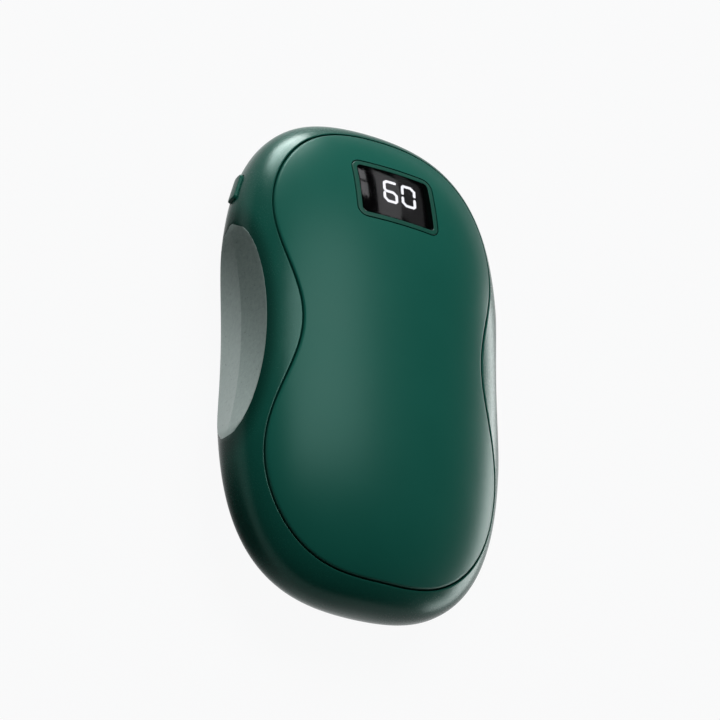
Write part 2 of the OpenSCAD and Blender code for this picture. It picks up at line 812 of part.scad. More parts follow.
module inner_frame() {
    color([0.85, 0.85, 0.82]) lift() difference() {
        union() {
            translate([0, 0, -frame_half_h]) linear_extrude(2 * frame_half_h) difference() {
                frame_outline(frame_wall);
                frame_outline(0);
            }
            // Ears on arms from the tray's corners
            translate([0, 0, boss_top]) linear_extrude(ear_t) difference() {
                for (a = boss_angles) let (p = boss_at(a)) {
                    translate(p) circle(ear_r);
                    translate([sign(p.x) * (cell_w / 2 - ear_r) + (p.x < 0 ? -step : step), p.y - ear_r])
                        mirror([p.x < 0 ? 1 : 0, 0]) square([abs(p.x) - cell_w / 2 + ear_r, 2 * ear_r]);
                }
                frame_outline(0);
            }
            // Shelf under the main board, with four posts
            shelf_block(shelf_neck, frame_far + frame_wall / 2, board_near);
            shelf_block(board_screw_x + post_r, board_near - step, board_screw_y + post_r);
            shelf_block(board_far_screw_x + post_r, board_near - step, board_far_screw_y + post_r);
            for (p = board_screw_places)
                translate([p.x, p.y, shelf_z]) cylinder(r = post_r, h = board_z - shelf_z);
        }
        for (a = boss_angles) let (p = boss_at(a))
            translate([p.x, p.y, boss_top - over]) cylinder(r = screw_r + screw_gap, h = ear_t + 2 * over);
        for (p = board_screw_places)
            translate([p.x, p.y, board_z - screw_l])
                cylinder(r = board_screw_r + screw_gap, h = screw_l + over);
    }
}

// Heaters under the panels, and the foam that presses them there

heater_bands = panel_bands - 2;
foam_gap = 0.05;
foam_bands = panel_bands - 3;
foam_top = heater_under + foam_gap;
foam_level = tape_t / 2 + cell_t + foam_gap;
// Both end short of the display, in a straight edge
heater_past = 3;
foam_short = 2;
heater_far = cell_end + heater_past;
foam_far = cell_end - foam_short;

module ends_at(y) {
    difference() {
        children();
        translate([-half_w, y, -half_t]) cube([body_w, half_l, body_t]);
    }
}

module heater() {
    top = panel_rings(1, heater_bands, heater_top);
    under = panel_rings(1, heater_bands, heater_under);
    ends_at(heater_far)
        cocoon([0, 0, half_t - heater_top], [each top, each reversed(under)], [0, 0, half_t - heater_under]);
}

module front_heater() {
    color([0.8, 0.5, 0.15]) lift() heater();
}

module back_heater() {
    color([0.8, 0.5, 0.15]) lift() mirror([0, 0, 1]) heater();
}

module foam() {
    top = panel_rings(1, foam_bands, foam_top);
    ends_at(foam_far) cocoon([0, 0, half_t - foam_top],
        [each top, [for (p = top[foam_bands - 1]) [p.x, p.y, foam_level]]], [0, 0, foam_level]);
}

module front_foam() {
    color([0.25, 0.25, 0.27]) lift() foam();
}

module back_foam() {
    color([0.25, 0.25, 0.27]) lift() mirror([0, 0, 1]) foam();
}

// Tails of the heaters: thin strips that bend from the film to the main board, both on one side,
// with their outer edges in line with the tray
tail_lap = 2;
tail_lift = 3;
tail_foot = 1;
tail_bend = frame_far + frame_wall + tail_gap;

module tail(points) {
    translate([tail_x - tail_w / 2, 0]) rotate([90, 0, 90]) linear_extrude(tail_w)
        for (i = [1 : len(points) - 1]) stroke(points[i - 1], points[i], tail_t);
}

function film_z(y) = crown(tail_x + tail_w / 2, y) - heater_under - 3 * tail_t;

module front_heater_tail() {
    z = board_z + board_t + tail_t / 2;
    color([0.8, 0.5, 0.15]) lift()
        tail([[heater_far - tail_lap, film_z(heater_far)], [tail_bend, film_z(tail_bend)],
              [tail_bend, z + tail_lift], [board_near + tail_foot / 2, z], [board_near + tail_foot, z]]);
}

module back_heater_tail() {
    z = board_z - tail_t / 2;
    color([0.8, 0.5, 0.15]) lift()
        tail([[heater_far - tail_lap, -film_z(heater_far)], [tail_bend, -film_z(tail_bend)],
              [tail_bend, -tail_lift], [board_near + tail_foot / 2, z], [board_near + tail_foot, z]]);
}

bead_r = 0.8;
bead_gap = 0.3;
module thermistors() {
    y = (foam_far + heater_far) / 2;
    color([0.1, 0.12, 0.35]) lift() for (side = [-1, 1])
        translate([0, y, side * (crown(0, y) - heater_under - bead_r - bead_gap)]) sphere(bead_r);
}

// Screws

module screw(r) {
    cylinder(r = screw_head_r, h = screw_head_t);
    translate([0, 0, -screw_l + 2 * screw_gap]) cylinder(r = r, h = screw_l);
}

module case_screws() {
    color([0.7, 0.7, 0.72]) lift() for (a = boss_angles) let (p = boss_at(a))
        translate([p.x, p.y, boss_top + ear_t]) screw(screw_r);
}

module board_screws() {
    color([0.7, 0.7, 0.72]) lift() for (p = board_screw_places)
        translate([p.x, p.y, board_z + board_t]) screw(board_screw_r);
}

outer_shell();
front_panel();
back_panel();
front_panel_gasket();
back_panel_gasket();
window_rim();
window_glass();
display_module();
lit_segments();
unlit_segments();
display_pins();
main_board();
control_chip();
charger_chip();
power_inductor();
chip_capacitors();
socket_shell();
socket_tongue();
socket_contacts();
button_cap();
switch_body();
switch_plunger();
front_cell();
back_cell();
cell_tape();
cell_board();
positive_lead();
negative_lead();
inner_frame();
front_heater();
back_heater();
front_heater_tail();
back_heater_tail();
front_foam();
back_foam();
thermistors();
case_screws();
board_screws();
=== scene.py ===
"""Looks of a rechargeable hand warmer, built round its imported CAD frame."""

import math

import bmesh
import bpy
from bpy.props import FloatProperty, FloatVectorProperty, PointerProperty
from mathutils import Matrix, Vector


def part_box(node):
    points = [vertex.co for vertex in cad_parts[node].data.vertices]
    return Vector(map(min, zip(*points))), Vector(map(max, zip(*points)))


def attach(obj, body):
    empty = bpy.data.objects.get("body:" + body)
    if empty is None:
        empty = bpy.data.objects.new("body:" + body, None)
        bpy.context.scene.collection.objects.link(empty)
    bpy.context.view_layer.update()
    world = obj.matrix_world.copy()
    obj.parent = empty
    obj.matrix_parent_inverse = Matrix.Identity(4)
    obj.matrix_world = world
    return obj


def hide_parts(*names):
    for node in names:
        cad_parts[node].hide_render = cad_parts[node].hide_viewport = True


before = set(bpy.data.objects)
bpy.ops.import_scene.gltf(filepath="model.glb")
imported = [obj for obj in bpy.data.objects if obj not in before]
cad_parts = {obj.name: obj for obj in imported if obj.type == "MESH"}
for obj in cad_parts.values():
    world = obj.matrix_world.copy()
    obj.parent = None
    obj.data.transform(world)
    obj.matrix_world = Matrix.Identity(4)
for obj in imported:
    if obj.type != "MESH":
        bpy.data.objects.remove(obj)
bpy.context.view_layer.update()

bl_info = {
    "name": "Pebble hand warmer",
    "version": (1, 0, 0),
    "blender": (4, 5, 0),
    "location": "View3D > Sidebar > Hand warmer",
    "description": "Builds a pebble-shaped hand warmer's shell, panels, window, button and studio",
    "category": "Object",
}

MM = 0.001
QUARTER_TURN = math.pi / 2
FULL_TURN = 2 * math.pi


def distance(name, description, default_mm):
    """A length that a user may change, given in millimetres and kept in metres."""
    return FloatProperty(name=name, description=description, default=default_mm * MM,
                         subtype="DISTANCE", unit="LENGTH", precision=5)


def colour(name, description, red, green, blue):
    """A colour that a user may change, given as it looks on a screen, from 0 to 255."""
    def linear(c):
        c /= 255
        return c / 12.92 if c <= 0.04045 else ((c + 0.055) / 1.055) ** 2.4
    return FloatVectorProperty(name=name, description=description, subtype="COLOR", size=3,
                               min=0, max=1, default=(linear(red), linear(green), linear(blue)))


def power(name, description, watts):
    """The power of a lamp."""
    return FloatProperty(name=name, description=description, default=watts, unit="POWER", min=0)


class PebbleSizes(bpy.types.PropertyGroup):
    """Sizes of the pebble, its scoops and its panels, as the CAD frame has them."""

    length: distance("Length", "Length of the pebble", 100)
    width: distance("Width", "Width of the pebble before its flanks are scooped", 60.4)
    thickness: distance("Thickness", "Thickness of the pebble at its middle", 30.5)
    foot_cut: distance("Foot cut", "Depth of the flat foot on the back", 0.6)
    wall: distance("Wall", "Wall of the shell", 2)
    scoop_depth: distance("Scoop depth", "Depth of each flank scoop at its middle", 3.4)
    scoop_radius: distance("Scoop radius", "Radius of a scoop along the flank", 83)
    scoop_draft: FloatProperty(name="Scoop draft", default=0.061,
                               description="How much a scoop opens for each unit of height")
    scoop_place: distance("Scoop place", "Place of the scoops' middle along the body", 1.6)
    scoop_edge: distance("Scoop edge", "Rounding of a scoop's edge", 0.16)
    # Width of the band of painted shade that darkens the shell beside each scoop's edge
    painted_shade_band: distance("Scoop band", "Width of the darker band beside a scoop's edge", 2.4)
    panel_length: distance("Panel length", "Length of a panel", 91.4)
    panel_width: distance("Panel width", "Width of a panel before its waist is drawn in", 56.5)
    panel_thickness: distance("Panel thickness", "Thickness of a panel", 1.8)
    panel_edge: distance("Panel edge", "Rounding of a panel's edge", 0.3)
    waist_depth: distance("Waist depth", "How far each side of a panel is drawn in", 8.07)
    waist_length: distance("Waist length", "Half-length over which the waist fades out", 18.25)
    seam: distance("Seam", "Gap of the seam round a panel", 0.3)
    seam_edge: distance("Seam edge", "Rounding of the shell's edge at the seam", 0.25)


class DisplaySizes(bpy.types.PropertyGroup):
    """Sizes of the display window and its digits."""

    place: distance("Place", "Place of the window's middle along the body", 32.15)
    rim_width: distance("Rim width", "Width of the window's rim", 18.35)
    rim_length: distance("Rim length", "Length of the window's rim", 12.9)
    rim_radius: distance("Rim radius", "Outer corner radius of the rim", 1.9)
    rim_face: distance("Rim face", "Width of the rim's face round the glass", 0.95)
    rim_edge: distance("Rim edge", "Rounding of the rim's edges", 0.12)
    glass_recess: distance("Glass recess", "Depth of the glass below the rim", 0.05)
    glass_thickness: distance("Glass thickness", "Thickness of the glass", 0.5)
    digit_height: distance("Digit height", "Height of a digit between the middles of its strokes", 4.7)
    digit_width: distance("Digit width", "Width of a digit between the middles of its strokes", 2.75)
    digit_pitch: distance("Digit pitch", "Distance from digit to digit", 4.2)
    stroke: distance("Stroke", "Width of a digit's stroke", 0.55)
    digits_right: distance("Digits right",
                           "How far the number stands to the right of the window's middle", 1.5)
    digits_up: distance("Digits up", "How far the number stands above the window's middle", 1.4)


class ButtonSizes(bpy.types.PropertyGroup):
    """Sizes of the side button."""

    place: distance("Place", "Place of the button's middle along the body", 31.9)
    drop: distance("Drop", "How far the button's middle lies below the pebble's middle plane", 1.35)
    length: distance("Length", "Length of the button along the flank", 5.8)
    width: distance("Width", "Width of the button across the flank", 3.2)
    radius: distance("Radius", "Corner radius of the button", 0.8)
    proud: distance("Proud", "Height of the button above the flank", 0.55)
    edge: distance("Edge", "Rounding of the button's edge", 0.28)
    gap: distance("Gap", "Running gap round the button", 0.2)


class FinishColours(bpy.types.PropertyGroup):
    """Colours of the finishes that show."""

    shell: colour("Shell", "Painted shell", 14, 66, 56)
    panel: colour("Panels", "Painted panels", 17, 76, 65)
    # The scoops' light grey-green is partly their own satin finish and partly painted sheen for the grazing
    # reflection that greys them
    scoop: colour("Scoops", "Satin finish of the flank scoops", 112, 126, 122)
    rim: colour("Window rim", "Moulded rim of the window", 15, 65, 54)
    button: colour("Button", "Painted button", 15, 68, 57)
    digits: colour("Digits", "Lit digits", 255, 255, 255)
    floor: colour("Floor", "Studio floor", 150, 150, 150)


class StudioLevels(bpy.types.PropertyGroup):
    """Light levels of the studio."""

    overhead: power("Overhead softbox", "Power of the softbox over the object", 5.3)
    behind: power("Back softbox", "Power of the low softbox behind the top end", 4.2)
    right: power("Right softbox", "Power of the low softbox on the right", 0.5)
    right_strip: power("Right strip",
                       "Power of the low strip whose highlight runs along the right edge", 0.088)
    back_strip: power("Back strip", "Power of the low strip whose highlight lies on the top end", 0.17)
    pane: power("Mirrored pane", "Power of the first pane that the display's glass mirrors", 0.048)
    sky: FloatProperty(name="Surroundings", description="Strength of the even light all round",
                       default=0.02, min=0)
    focal_length: FloatProperty(name="Focal length", description="Focal length of the camera",
                                default=201.83, subtype="DISTANCE_CAMERA", unit="CAMERA", min=1)


# Shapes of the pebble and its panel, with the same exponents as the CAD source
PLAN_POWERS = 3.46, 2.71
PROFILE_POWERS = 2.88, 2.19
SECTION_POWER = 2.27
PANEL_POWER = 2.85
PANEL_FLARE = 0.014
PANEL_SHIFT = 0.2 * MM
LEDGE_WIDTH = 1.6 * MM
LEDGE_DEPTH = 2.11 * MM
LEDGE_UNDER = 3.51 * MM
# Spread of the columns along the plan's outline, and the least sizes to divide by
PLAN_SPREAD = 1.5
LEAST_WIDTH = 1e-6
LEAST_HEIGHT = 1e-9


def steps(first, last, count):
    """Evenly spaced numbers from the first to the last."""
    return [first + (last - first) * (k / count) for k in range(count + 1)]


class Pebble:
    """The form that the shell and the panels share. Its middle plane is z = 0."""

    def __init__(self, sizes):
        self.sizes = sizes
        self.half_length = sizes.length / 2
        self.half_width = sizes.width / 2
        self.half_thickness = sizes.thickness / 2
        self.lift = self.half_thickness - sizes.foot_cut

    def tapered(self, half, powers, y, inset):
        """A half-size that the pebble has at its middle, as it is at y."""
        rest = max(0.0, 1 - (abs(y) / (self.half_length - inset)) ** powers[0])
        return (half - inset) * rest ** (1 / powers[1])

    def half_plan(self, y, inset=0.0):
        """Half-width of the pebble's plan at y."""
        return self.tapered(self.half_width, PLAN_POWERS, y, inset)

    def height(self, y, inset=0.0):
        """Height of the pebble over its middle plane, along its middle line."""
        return self.tapered(self.half_thickness, PROFILE_POWERS, y, inset)

    def crown(self, x, y, inset=0.0):
        """Height of the pebble's surface at a point of the plan."""
        across = abs(x) / max(LEAST_WIDTH, self.half_plan(y, inset))
        return self.height(y, inset) * max(0.0, 1 - across * across) ** (1 / SECTION_POWER)

    def bulge(self, y, z):
        """Half-width of the pebble at a height, before it is scooped."""
        share = min(1.0, abs(z) / max(LEAST_HEIGHT, self.height(y)))
        return self.half_plan(y) * math.sqrt(1 - share ** SECTION_POWER)

    def flank(self, y, z):
        """Half-width that is left at a height: the pebble's, or the scoop's where that cuts in."""
        return min(self.bulge(y, z), self.scoop(y, z))

    def scoop(self, y, z):
        """Half-width that a scoop leaves: an arc along the body that opens with the height."""
        s = self.sizes
        reach = s.scoop_radius + s.scoop_draft * abs(z)
        along = y - s.scoop_place
        return self.half_width - s.scoop_depth + s.scoop_radius - math.sqrt(reach * reach - along * along)

    def plan(self, angle, inset=0.0):
        """Point of the plan's outline in the direction of an angle."""
        across, along = math.cos(angle), math.sin(angle)
        c, s = abs(across) ** PLAN_SPREAD, abs(along) ** PLAN_SPREAD
        r = math.hypot(c, s)
        return Vector((math.copysign((self.half_width - inset) * (c / r) ** (2 / PLAN_POWERS[1]), across),
                       math.copysign((self.half_length - inset) * (s / r) ** (2 / PLAN_POWERS[0]), along)))

    def panel_line(self, angle):
        """Outline of a panel: a long rounded form drawn in at its waist."""
        s = self.sizes
        c, n = abs(math.cos(angle)) / (s.panel_width / 2), abs(math.sin(angle)) / (s.panel_length / 2)
        r = (c ** PANEL_POWER + n ** PANEL_POWER) ** (-1 / PANEL_POWER)
        x, y = r * math.cos(angle), r * math.sin(angle)
        waist = s.waist_depth / (s.panel_width / 2) * math.exp(-((y - s.scoop_place) / s.waist_length) ** 2)
        return Vector((x * (1 - waist) * (1 - PANEL_FLARE * y / self.half_length), y + PANEL_SHIFT))

    def panel(self, angle, out=0.0):
        """The panel's outline moved outwards square to itself."""
        small = 1e-4
        along = self.panel_line(angle + small) - self.panel_line(angle - small)
        return self.panel_line(angle) + Vector((along.y, -along.x)).normalized() * out

    def on_crown(self, point, depth=0.0):
        """A point of the plan raised to a depth below the pebble's surface."""
        return Vector((point.x, point.y, self.crown(point.x, point.y) - depth))


# Distance within which points are one, shortest edge, least angle of a crisp edge, and the most that the
# boxes of a piece and its node may differ
SAME_PLACE = 1e-7
NO_LENGTH = 1e-8
CREASE = math.radians(33)
STRAY = 0.6 * MM


def laid(across, along, spot):
    """A grid whose every corner is moved to the spot for its column and row."""
    bm = bmesh.new()
    half = 0.5
    bmesh.ops.create_grid(bm, x_segments=across, y_segments=along, size=half)
    for v in bm.verts:
        v.co = spot(round((v.co.x + half) * across), round((v.co.y + half) * along))
    return bm


def wrapped(columns, closed_rows=False):
    """A grid laid on columns of points, which follow each other all round."""
    around, rows = len(columns), len(columns[0])
    return laid(around, rows if closed_rows else rows - 1, lambda i, k: columns[i % around][k % rows])


def outwards(bm):
    bmesh.ops.recalc_face_normals(bm, faces=bm.faces)


def close_up(bm):
    """Merges what lies in one place and turns every face outwards."""
    bmesh.ops.remove_doubles(bm, verts=bm.verts, dist=SAME_PLACE)
    bmesh.ops.dissolve_degenerate(bm, edges=bm.edges, dist=NO_LENGTH)
    outwards(bm)


def thickened(bm, height):
    """A flat shape given a thickness along Z."""
    lifted = bmesh.ops.extrude_face_region(bm, geom=bm.faces[:])["geom"]
    bmesh.ops.translate(bm, vec=(0, 0, height),
                        verts=[v for v in lifted if isinstance(v, bmesh.types.BMVert)])
    outwards(bm)
    return bm


def moved(bm, *way):
    bmesh.ops.translate(bm, verts=bm.verts, vec=way)


def below(points):
    """The same points, as far below the middle plane as they were above it."""
    return [Vector((p.x, p.y, -p.z)) for p in points]


def made_object(name, bm, paints=()):
    """An object made of a bmesh, with the materials that its faces are numbered for."""
    mesh = bpy.data.meshes.new(name)
    for paint in paints:
        mesh.materials.append(paint)
    bm.to_mesh(mesh)
    bm.free()
    ob = bpy.data.objects.new(name, mesh)
    bpy.context.scene.collection.objects.link(ob)
    return ob


def cut_away(ob, cutter_bm):
    """Takes a closed shape out of an object with a Boolean modifier, and applies it."""
    cutter = made_object("cutter", cutter_bm)
    cutting = ob.modifiers.new("cut", "BOOLEAN")
    cutting.operation, cutting.solver, cutting.object = "DIFFERENCE", "EXACT", cutter
    before = len(ob.data.vertices)
    bpy.context.view_layer.update()
    worn = bpy.data.meshes.new_from_object(ob.evaluated_get(bpy.context.evaluated_depsgraph_get()))
    ob.modifiers.clear()
    ob.data = worn
    bpy.data.objects.remove(cutter)
    if len(worn.vertices) == before:
        raise RuntimeError(f"nothing was cut from {ob.name}")


def finished(name, bm, node, slot, body="casing", inlay=(), cuts=(), ridge=None):
    """Makes a piece in the finish of its slot, with those of its inlay, takes its cuts out of it, shades it
    smooth between crisp edges and lets it stand for a node on its body."""
    ob = made_object(name, bm, [finish(look) for look in (slot, *inlay)])
    for cutter in cuts:
        cut_away(ob, cutter)
    bm = bmesh.new()
    bm.from_mesh(ob.data)
    for f in bm.faces:
        f.smooth = True
    for e in bm.edges:
        e.smooth = len(e.link_faces) == 2 and e.calc_face_angle() < CREASE and not (ridge and ridge(e))
    bm.to_mesh(ob.data)
    bm.free()
    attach(ob, body)
    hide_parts(node)
    corners = [[end(v.co[axis] for v in ob.data.vertices) for axis in range(3)] for end in (min, max)]
    off = max(abs(a - b) for mine, its in zip(corners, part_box(node)) for a, b in zip(mine, its))
    print(f"{ob.name} is {off / MM:.2f} mm off {node}")
    if off > STRAY:
        raise RuntimeError(f"{ob.name} isn't where {node} is")


def rounded_outline(width, length, radius, corner=10, side=8):
    """Outline of a rounded rectangle, as corner centres, directions and the radius, in order."""
    centres = [Vector((sx * (width / 2 - radius), sy * (length / 2 - radius)))
               for sx, sy in ((1, 1), (-1, 1), (-1, -1), (1, -1))]
    points = []
    for k, centre in enumerate(centres):
        for turn in steps(k * QUARTER_TURN, (k + 1) * QUARTER_TURN, corner):
            points.append((centre, Vector((math.cos(turn), math.sin(turn))), radius))
        points += [(centre.lerp(centres[(k + 1) % 4], share), points[-1][1], radius)
                   for share in steps(0, 1, side)[1:-1]]
    return points


def outline_point(spot, out=0.0):
    """Point of such an outline, grown by a distance."""
    centre, direction, radius = spot
    return centre + direction * (radius + out)


def rounding(radius, count=5):
    """Shares of a quarter round: how far along and how far down, from its flat to its side."""
    return [(radius * (1 - math.sin(t)), radius * (1 - math.cos(t)))
            for t in steps(0, QUARTER_TURN, count)]


# Materials


class Wire:
    """An output of a material's nodes. An expression on it adds its Math nodes."""

    def __init__(self, paint, socket):
        self.paint, self.socket = paint, socket

    def maths(self, operation, first, second):
        return self.paint.node("ShaderNodeMath", {"operation": operation}, {0: first, 1: second})

    def __add__(self, other):
        return self.maths("ADD", self, other)

    def __sub__(self, other):
        return self.maths("SUBTRACT", self, other)

    def __mul__(self, other):
        return self.maths("MULTIPLY", self, other)

    def __rsub__(self, other):
        return self.maths("SUBTRACT", other, self)

    def __gt__(self, other):
        return self.maths("GREATER_THAN", self, other)

    __radd__, __rmul__ = __add__, __mul__


class Paint:
    """A material, or the surroundings, whose nodes all come from one method."""

    def __init__(self, name, world=False):
        self.owner = (bpy.data.worlds if world else bpy.data.materials).new(name)
        self.owner.use_nodes = True
        self.tree = self.owner.node_tree
        self.tree.nodes.clear()
        self.last = self.tree.nodes.new("ShaderNodeOutputWorld" if world else "ShaderNodeOutputMaterial")

    def node(self, kind, settings=None, inputs=None, output=0):
        """Adds a node: its settings first, then the values or links of its sockets."""
        node = self.tree.nodes.new(kind)
        for name, value in (settings or {}).items():
            setattr(node, name, value)
        for name, value in (inputs or {}).items():
            socket = node.inputs[name]
            if isinstance(value, Wire):
                self.tree.links.new(value.socket, socket)
            else:
                socket.default_value = (*value, 1) if socket.type == "RGBA" and len(value) == 3 else value
        return Wire(self, node.outputs[output])

    def place(self):
        return self.node("ShaderNodeTexCoord", output="Object")

    def noise(self, size, detail=2.0, rough=0.5, place=None):
        return self.node("ShaderNodeTexNoise", inputs={
            "Vector": place or self.place(), "Scale": 1 / size, "Detail": detail, "Roughness": rough})

    def blend(self, share, first, second):
        """A colour between two, by a share from 0 to 1."""
        return self.node("ShaderNodeMix", {"data_type": "RGBA"}, {0: share, 6: first, 7: second}, output=2)

    def bump(self, height, depth, under=None):
        sockets = {"Height": height, "Distance": depth, "Strength": 1.0}
        if under:
            sockets["Normal"] = under
        return self.node("ShaderNodeBump", inputs=sockets)

    def fade(self, value, first, last, at_first, at_last):
        """A number that goes smoothly from one level to another while a value goes from first to last."""
        return self.node("ShaderNodeMapRange", {"interpolation_type": "SMOOTHSTEP"}, {
            "Value": value, "From Min": first, "From Max": last, "To Min": at_first, "To Max": at_last})

    def wear(self, shader):
        self.tree.links.new(shader.socket, self.last.inputs["Surface"])
        return self.owner

    def close(self, inputs):
        """Joins a Principled shader with these inputs to the output."""
        return self.wear(self.node("ShaderNodeBsdfPrincipled", inputs=inputs))


# Tint of the green paint's highlights
SHEEN = 0.6, 1.0, 0.9


def shade(tint, factor):
    return tuple(min(1.0, c * factor) for c in tint)


def clouded(p, share, tint, dark, light):
    """A tint that goes from a darker to a lighter shade of itself with a share from 0 to 1."""
    return p.blend(share, shade(tint, dark), shade(tint, light))


def painted_shade_band(p, spot):
    """Share, from 1 to 0, by which a spot of the shell lies in the painted shade band by a scoop's edge."""
    pebble = Pebble(bpy.context.scene.warmer_pebble)
    s = pebble.sizes
    middle = p.node("ShaderNodeVectorMath", {"operation": "SUBTRACT"},
                    {0: spot, 1: (0, s.scoop_place, pebble.lift)})
    away = p.node("ShaderNodeVectorMath", {"operation": "ABSOLUTE"}, {0: middle})
    x, y, z = (p.node("ShaderNodeSeparateXYZ", inputs={"Vector": away}, output=axis) for axis in "XYZ")
    inward = y * y * (0.5 / s.scoop_radius) - z * s.scoop_draft + (pebble.half_width - s.scoop_depth) - x
    return p.fade(inward, 0, s.painted_shade_band, 1, 0)


def painted(name, tint, roughness, specular, grain, depth, speckle, coat=0.0, painted_scoop_shade=0.0,
            mottle=(9 * MM, 0.06)):
    """Soft-touch paint: fine grain, faint clouds, bright specks and, if wanted, painted shade by the
    scoops.
    """
    p = Paint(name)
    spot = p.place()
    fine = p.noise(grain, 2, 0.55, spot)
    finer = p.noise(grain / 2.6, 1, 0.5, spot)
    cloud = p.noise(mottle[0], 2, 0.5, spot)
    specks = ((finer - 0.58) * 5) > 0.35
    tone = clouded(p, cloud, tint, 1 - mottle[1], 1 + mottle[1])
    tone = p.blend(fine * 0.5, tone, shade(tint, 0.86))
    tone = p.blend(specks * speckle, tone, shade(tint, 2.2))
    # Painted shade: the paint is darkened in a narrow band beside each scoop's edge
    if painted_scoop_shade:
        tone = p.blend(painted_shade_band(p, spot) * painted_scoop_shade, tone, (0, 0, 0))
    relief = p.bump(fine * 0.75 + finer * 0.25, depth)
    return p.close({"Base Color": tone, "Roughness": roughness + (fine - 0.5) * 0.1 + (cloud - 0.5) * 0.04,
                    "Specular IOR Level": specular, "Specular Tint": SHEEN, "Normal": relief,
                    "Coat Weight": coat, "Coat Roughness": 0.3})


def moulded(name, tint, roughness, specular=0.4):
    """Plain moulded plastic with a faint spark-eroded grain."""
    p = Paint(name)
    fine = p.noise(0.25 * MM, 3, 0.6)
    tone = clouded(p, p.noise(5 * MM, 2), tint, 0.9, 1.1)
    return p.close({"Base Color": tone, "Roughness": roughness + (fine - 0.5) * 0.16,
                    "Specular IOR Level": specular, "Normal": p.bump(fine, 0.004 * MM)})


def metal(name, tint, roughness):
    """Drawn metal: a fine grain stretched along one direction, and a faint tarnish."""
    p = Paint(name)
    stretched = p.node("ShaderNodeMapping", inputs={"Vector": p.place(), "Scale": (1, 0.12, 1)})
    streaks = p.noise(0.12 * MM, 2, 0.5, stretched)
    tone = clouded(p, p.noise(2.5 * MM, 3), tint, 0.86, 1.05)
    return p.close({"Base Color": tone, "Metallic": 1.0, "Roughness": roughness + (streaks - 0.5) * 0.2,
                    "Normal": p.bump(streaks, 0.003 * MM)})


def foil(name, tint):
    """Aluminium pouch: pressed dimples and soft creases in a metallic film."""
    p = Paint(name)
    dimples = p.node("ShaderNodeTexVoronoi", inputs={"Vector": p.place(), "Scale": 1 / (0.9 * MM)})
    creases = p.noise(6 * MM, 4, 0.6)
    # Painted shade and light: the tint follows the creases, darker in their hollows and lighter on their
    # crests
    tone = clouded(p, creases, tint, 0.85, 1.08)
    relief = p.bump(creases, 0.15 * MM, under=p.bump(dimples, 0.02 * MM))
    return p.close({"Base Color": tone, "Metallic": 0.85, "Roughness": 0.34 + creases * 0.12,
                    "Normal": relief})


def circuit_board(name, mask_tint, track_tint):
    """Solder mask over fine copper tracks."""
    p = Paint(name)
    tracks = p.node("ShaderNodeTexBrick", {"offset": 0.5}, {
        "Vector": p.place(), "Scale": 1 / (1.6 * MM), "Mortar Size": 0.05, "Brick Width": 1.4,
        "Row Height": 0.5}, output="Fac")
    cloud = p.noise(3 * MM, 2)
    tone = clouded(p, cloud, mask_tint, 0.9, 1.1)
    tone = p.blend(tracks * 0.55, tone, track_tint)
    return p.close({"Base Color": tone, "Roughness": 0.32 + cloud * 0.08,
                    "Normal": p.bump(tracks, 0.02 * MM)})


def soft_foam(name, tint):
    """Open-cell foam."""
    p = Paint(name)
    cells = p.node("ShaderNodeTexVoronoi", {"feature": "DISTANCE_TO_EDGE"},
                   {"Vector": p.place(), "Scale": 1 / (0.5 * MM)}, output="Distance")
    tone = clouded(p, cells, tint, 1.3, 0.55)
    return p.close({"Base Color": tone, "Roughness": 0.95, "Normal": p.bump(cells, 0.15 * MM)})


def film(name, tint, track_tint):
    """Polyimide film with the heater's winding track under it."""
    p = Paint(name)
    waves = p.node("ShaderNodeTexWave", {"wave_type": "BANDS", "bands_direction": "Y"},
                   {"Vector": p.place(), "Scale": 90.0, "Distortion": 1.2, "Detail": 0.0}, output="Fac")
    track = waves > 0.55
    tone = p.blend(track * 0.6, tint, track_tint)
    return p.close({"Base Color": tone, "Roughness": 0.28 + p.noise(2 * MM, 2) * 0.12,
                    "Normal": p.bump(track, 0.02 * MM)})


def smoked_glass(name):
    """Dark tinted glass: it lets the lit digits through and mirrors the studio at its surface."""
    p = Paint(name)
    haze = p.noise(1.4 * MM, 2)
    clear = p.node("ShaderNodeBsdfTransparent", inputs={"Color": (0.36, 0.36, 0.37)})
    gloss = p.node("ShaderNodeBsdfPrincipled", inputs={
        "Base Color": (0.9, 0.9, 0.92), "Metallic": 1.0, "Roughness": 0.05 + haze * 0.02})
    facing = p.node("ShaderNodeLayerWeight", inputs={"Blend": 0.12}, output="Fresnel")
    return p.wear(p.node("ShaderNodeMixShader", inputs={0: facing * 0.2 + 0.045, 1: clear, 2: gloss}))


def glowing(name, tint, strength):
    """Lit digit: a diffuser with an even glow and a faint unevenness."""
    p = Paint(name)
    cloud = p.noise(0.6 * MM, 2)
    tone = p.blend(cloud * 0.3, tint, shade(tint, 0.92))
    return p.close({"Base Color": tone, "Roughness": 0.6, "Emission Color": tone,
                    "Emission Strength": strength})


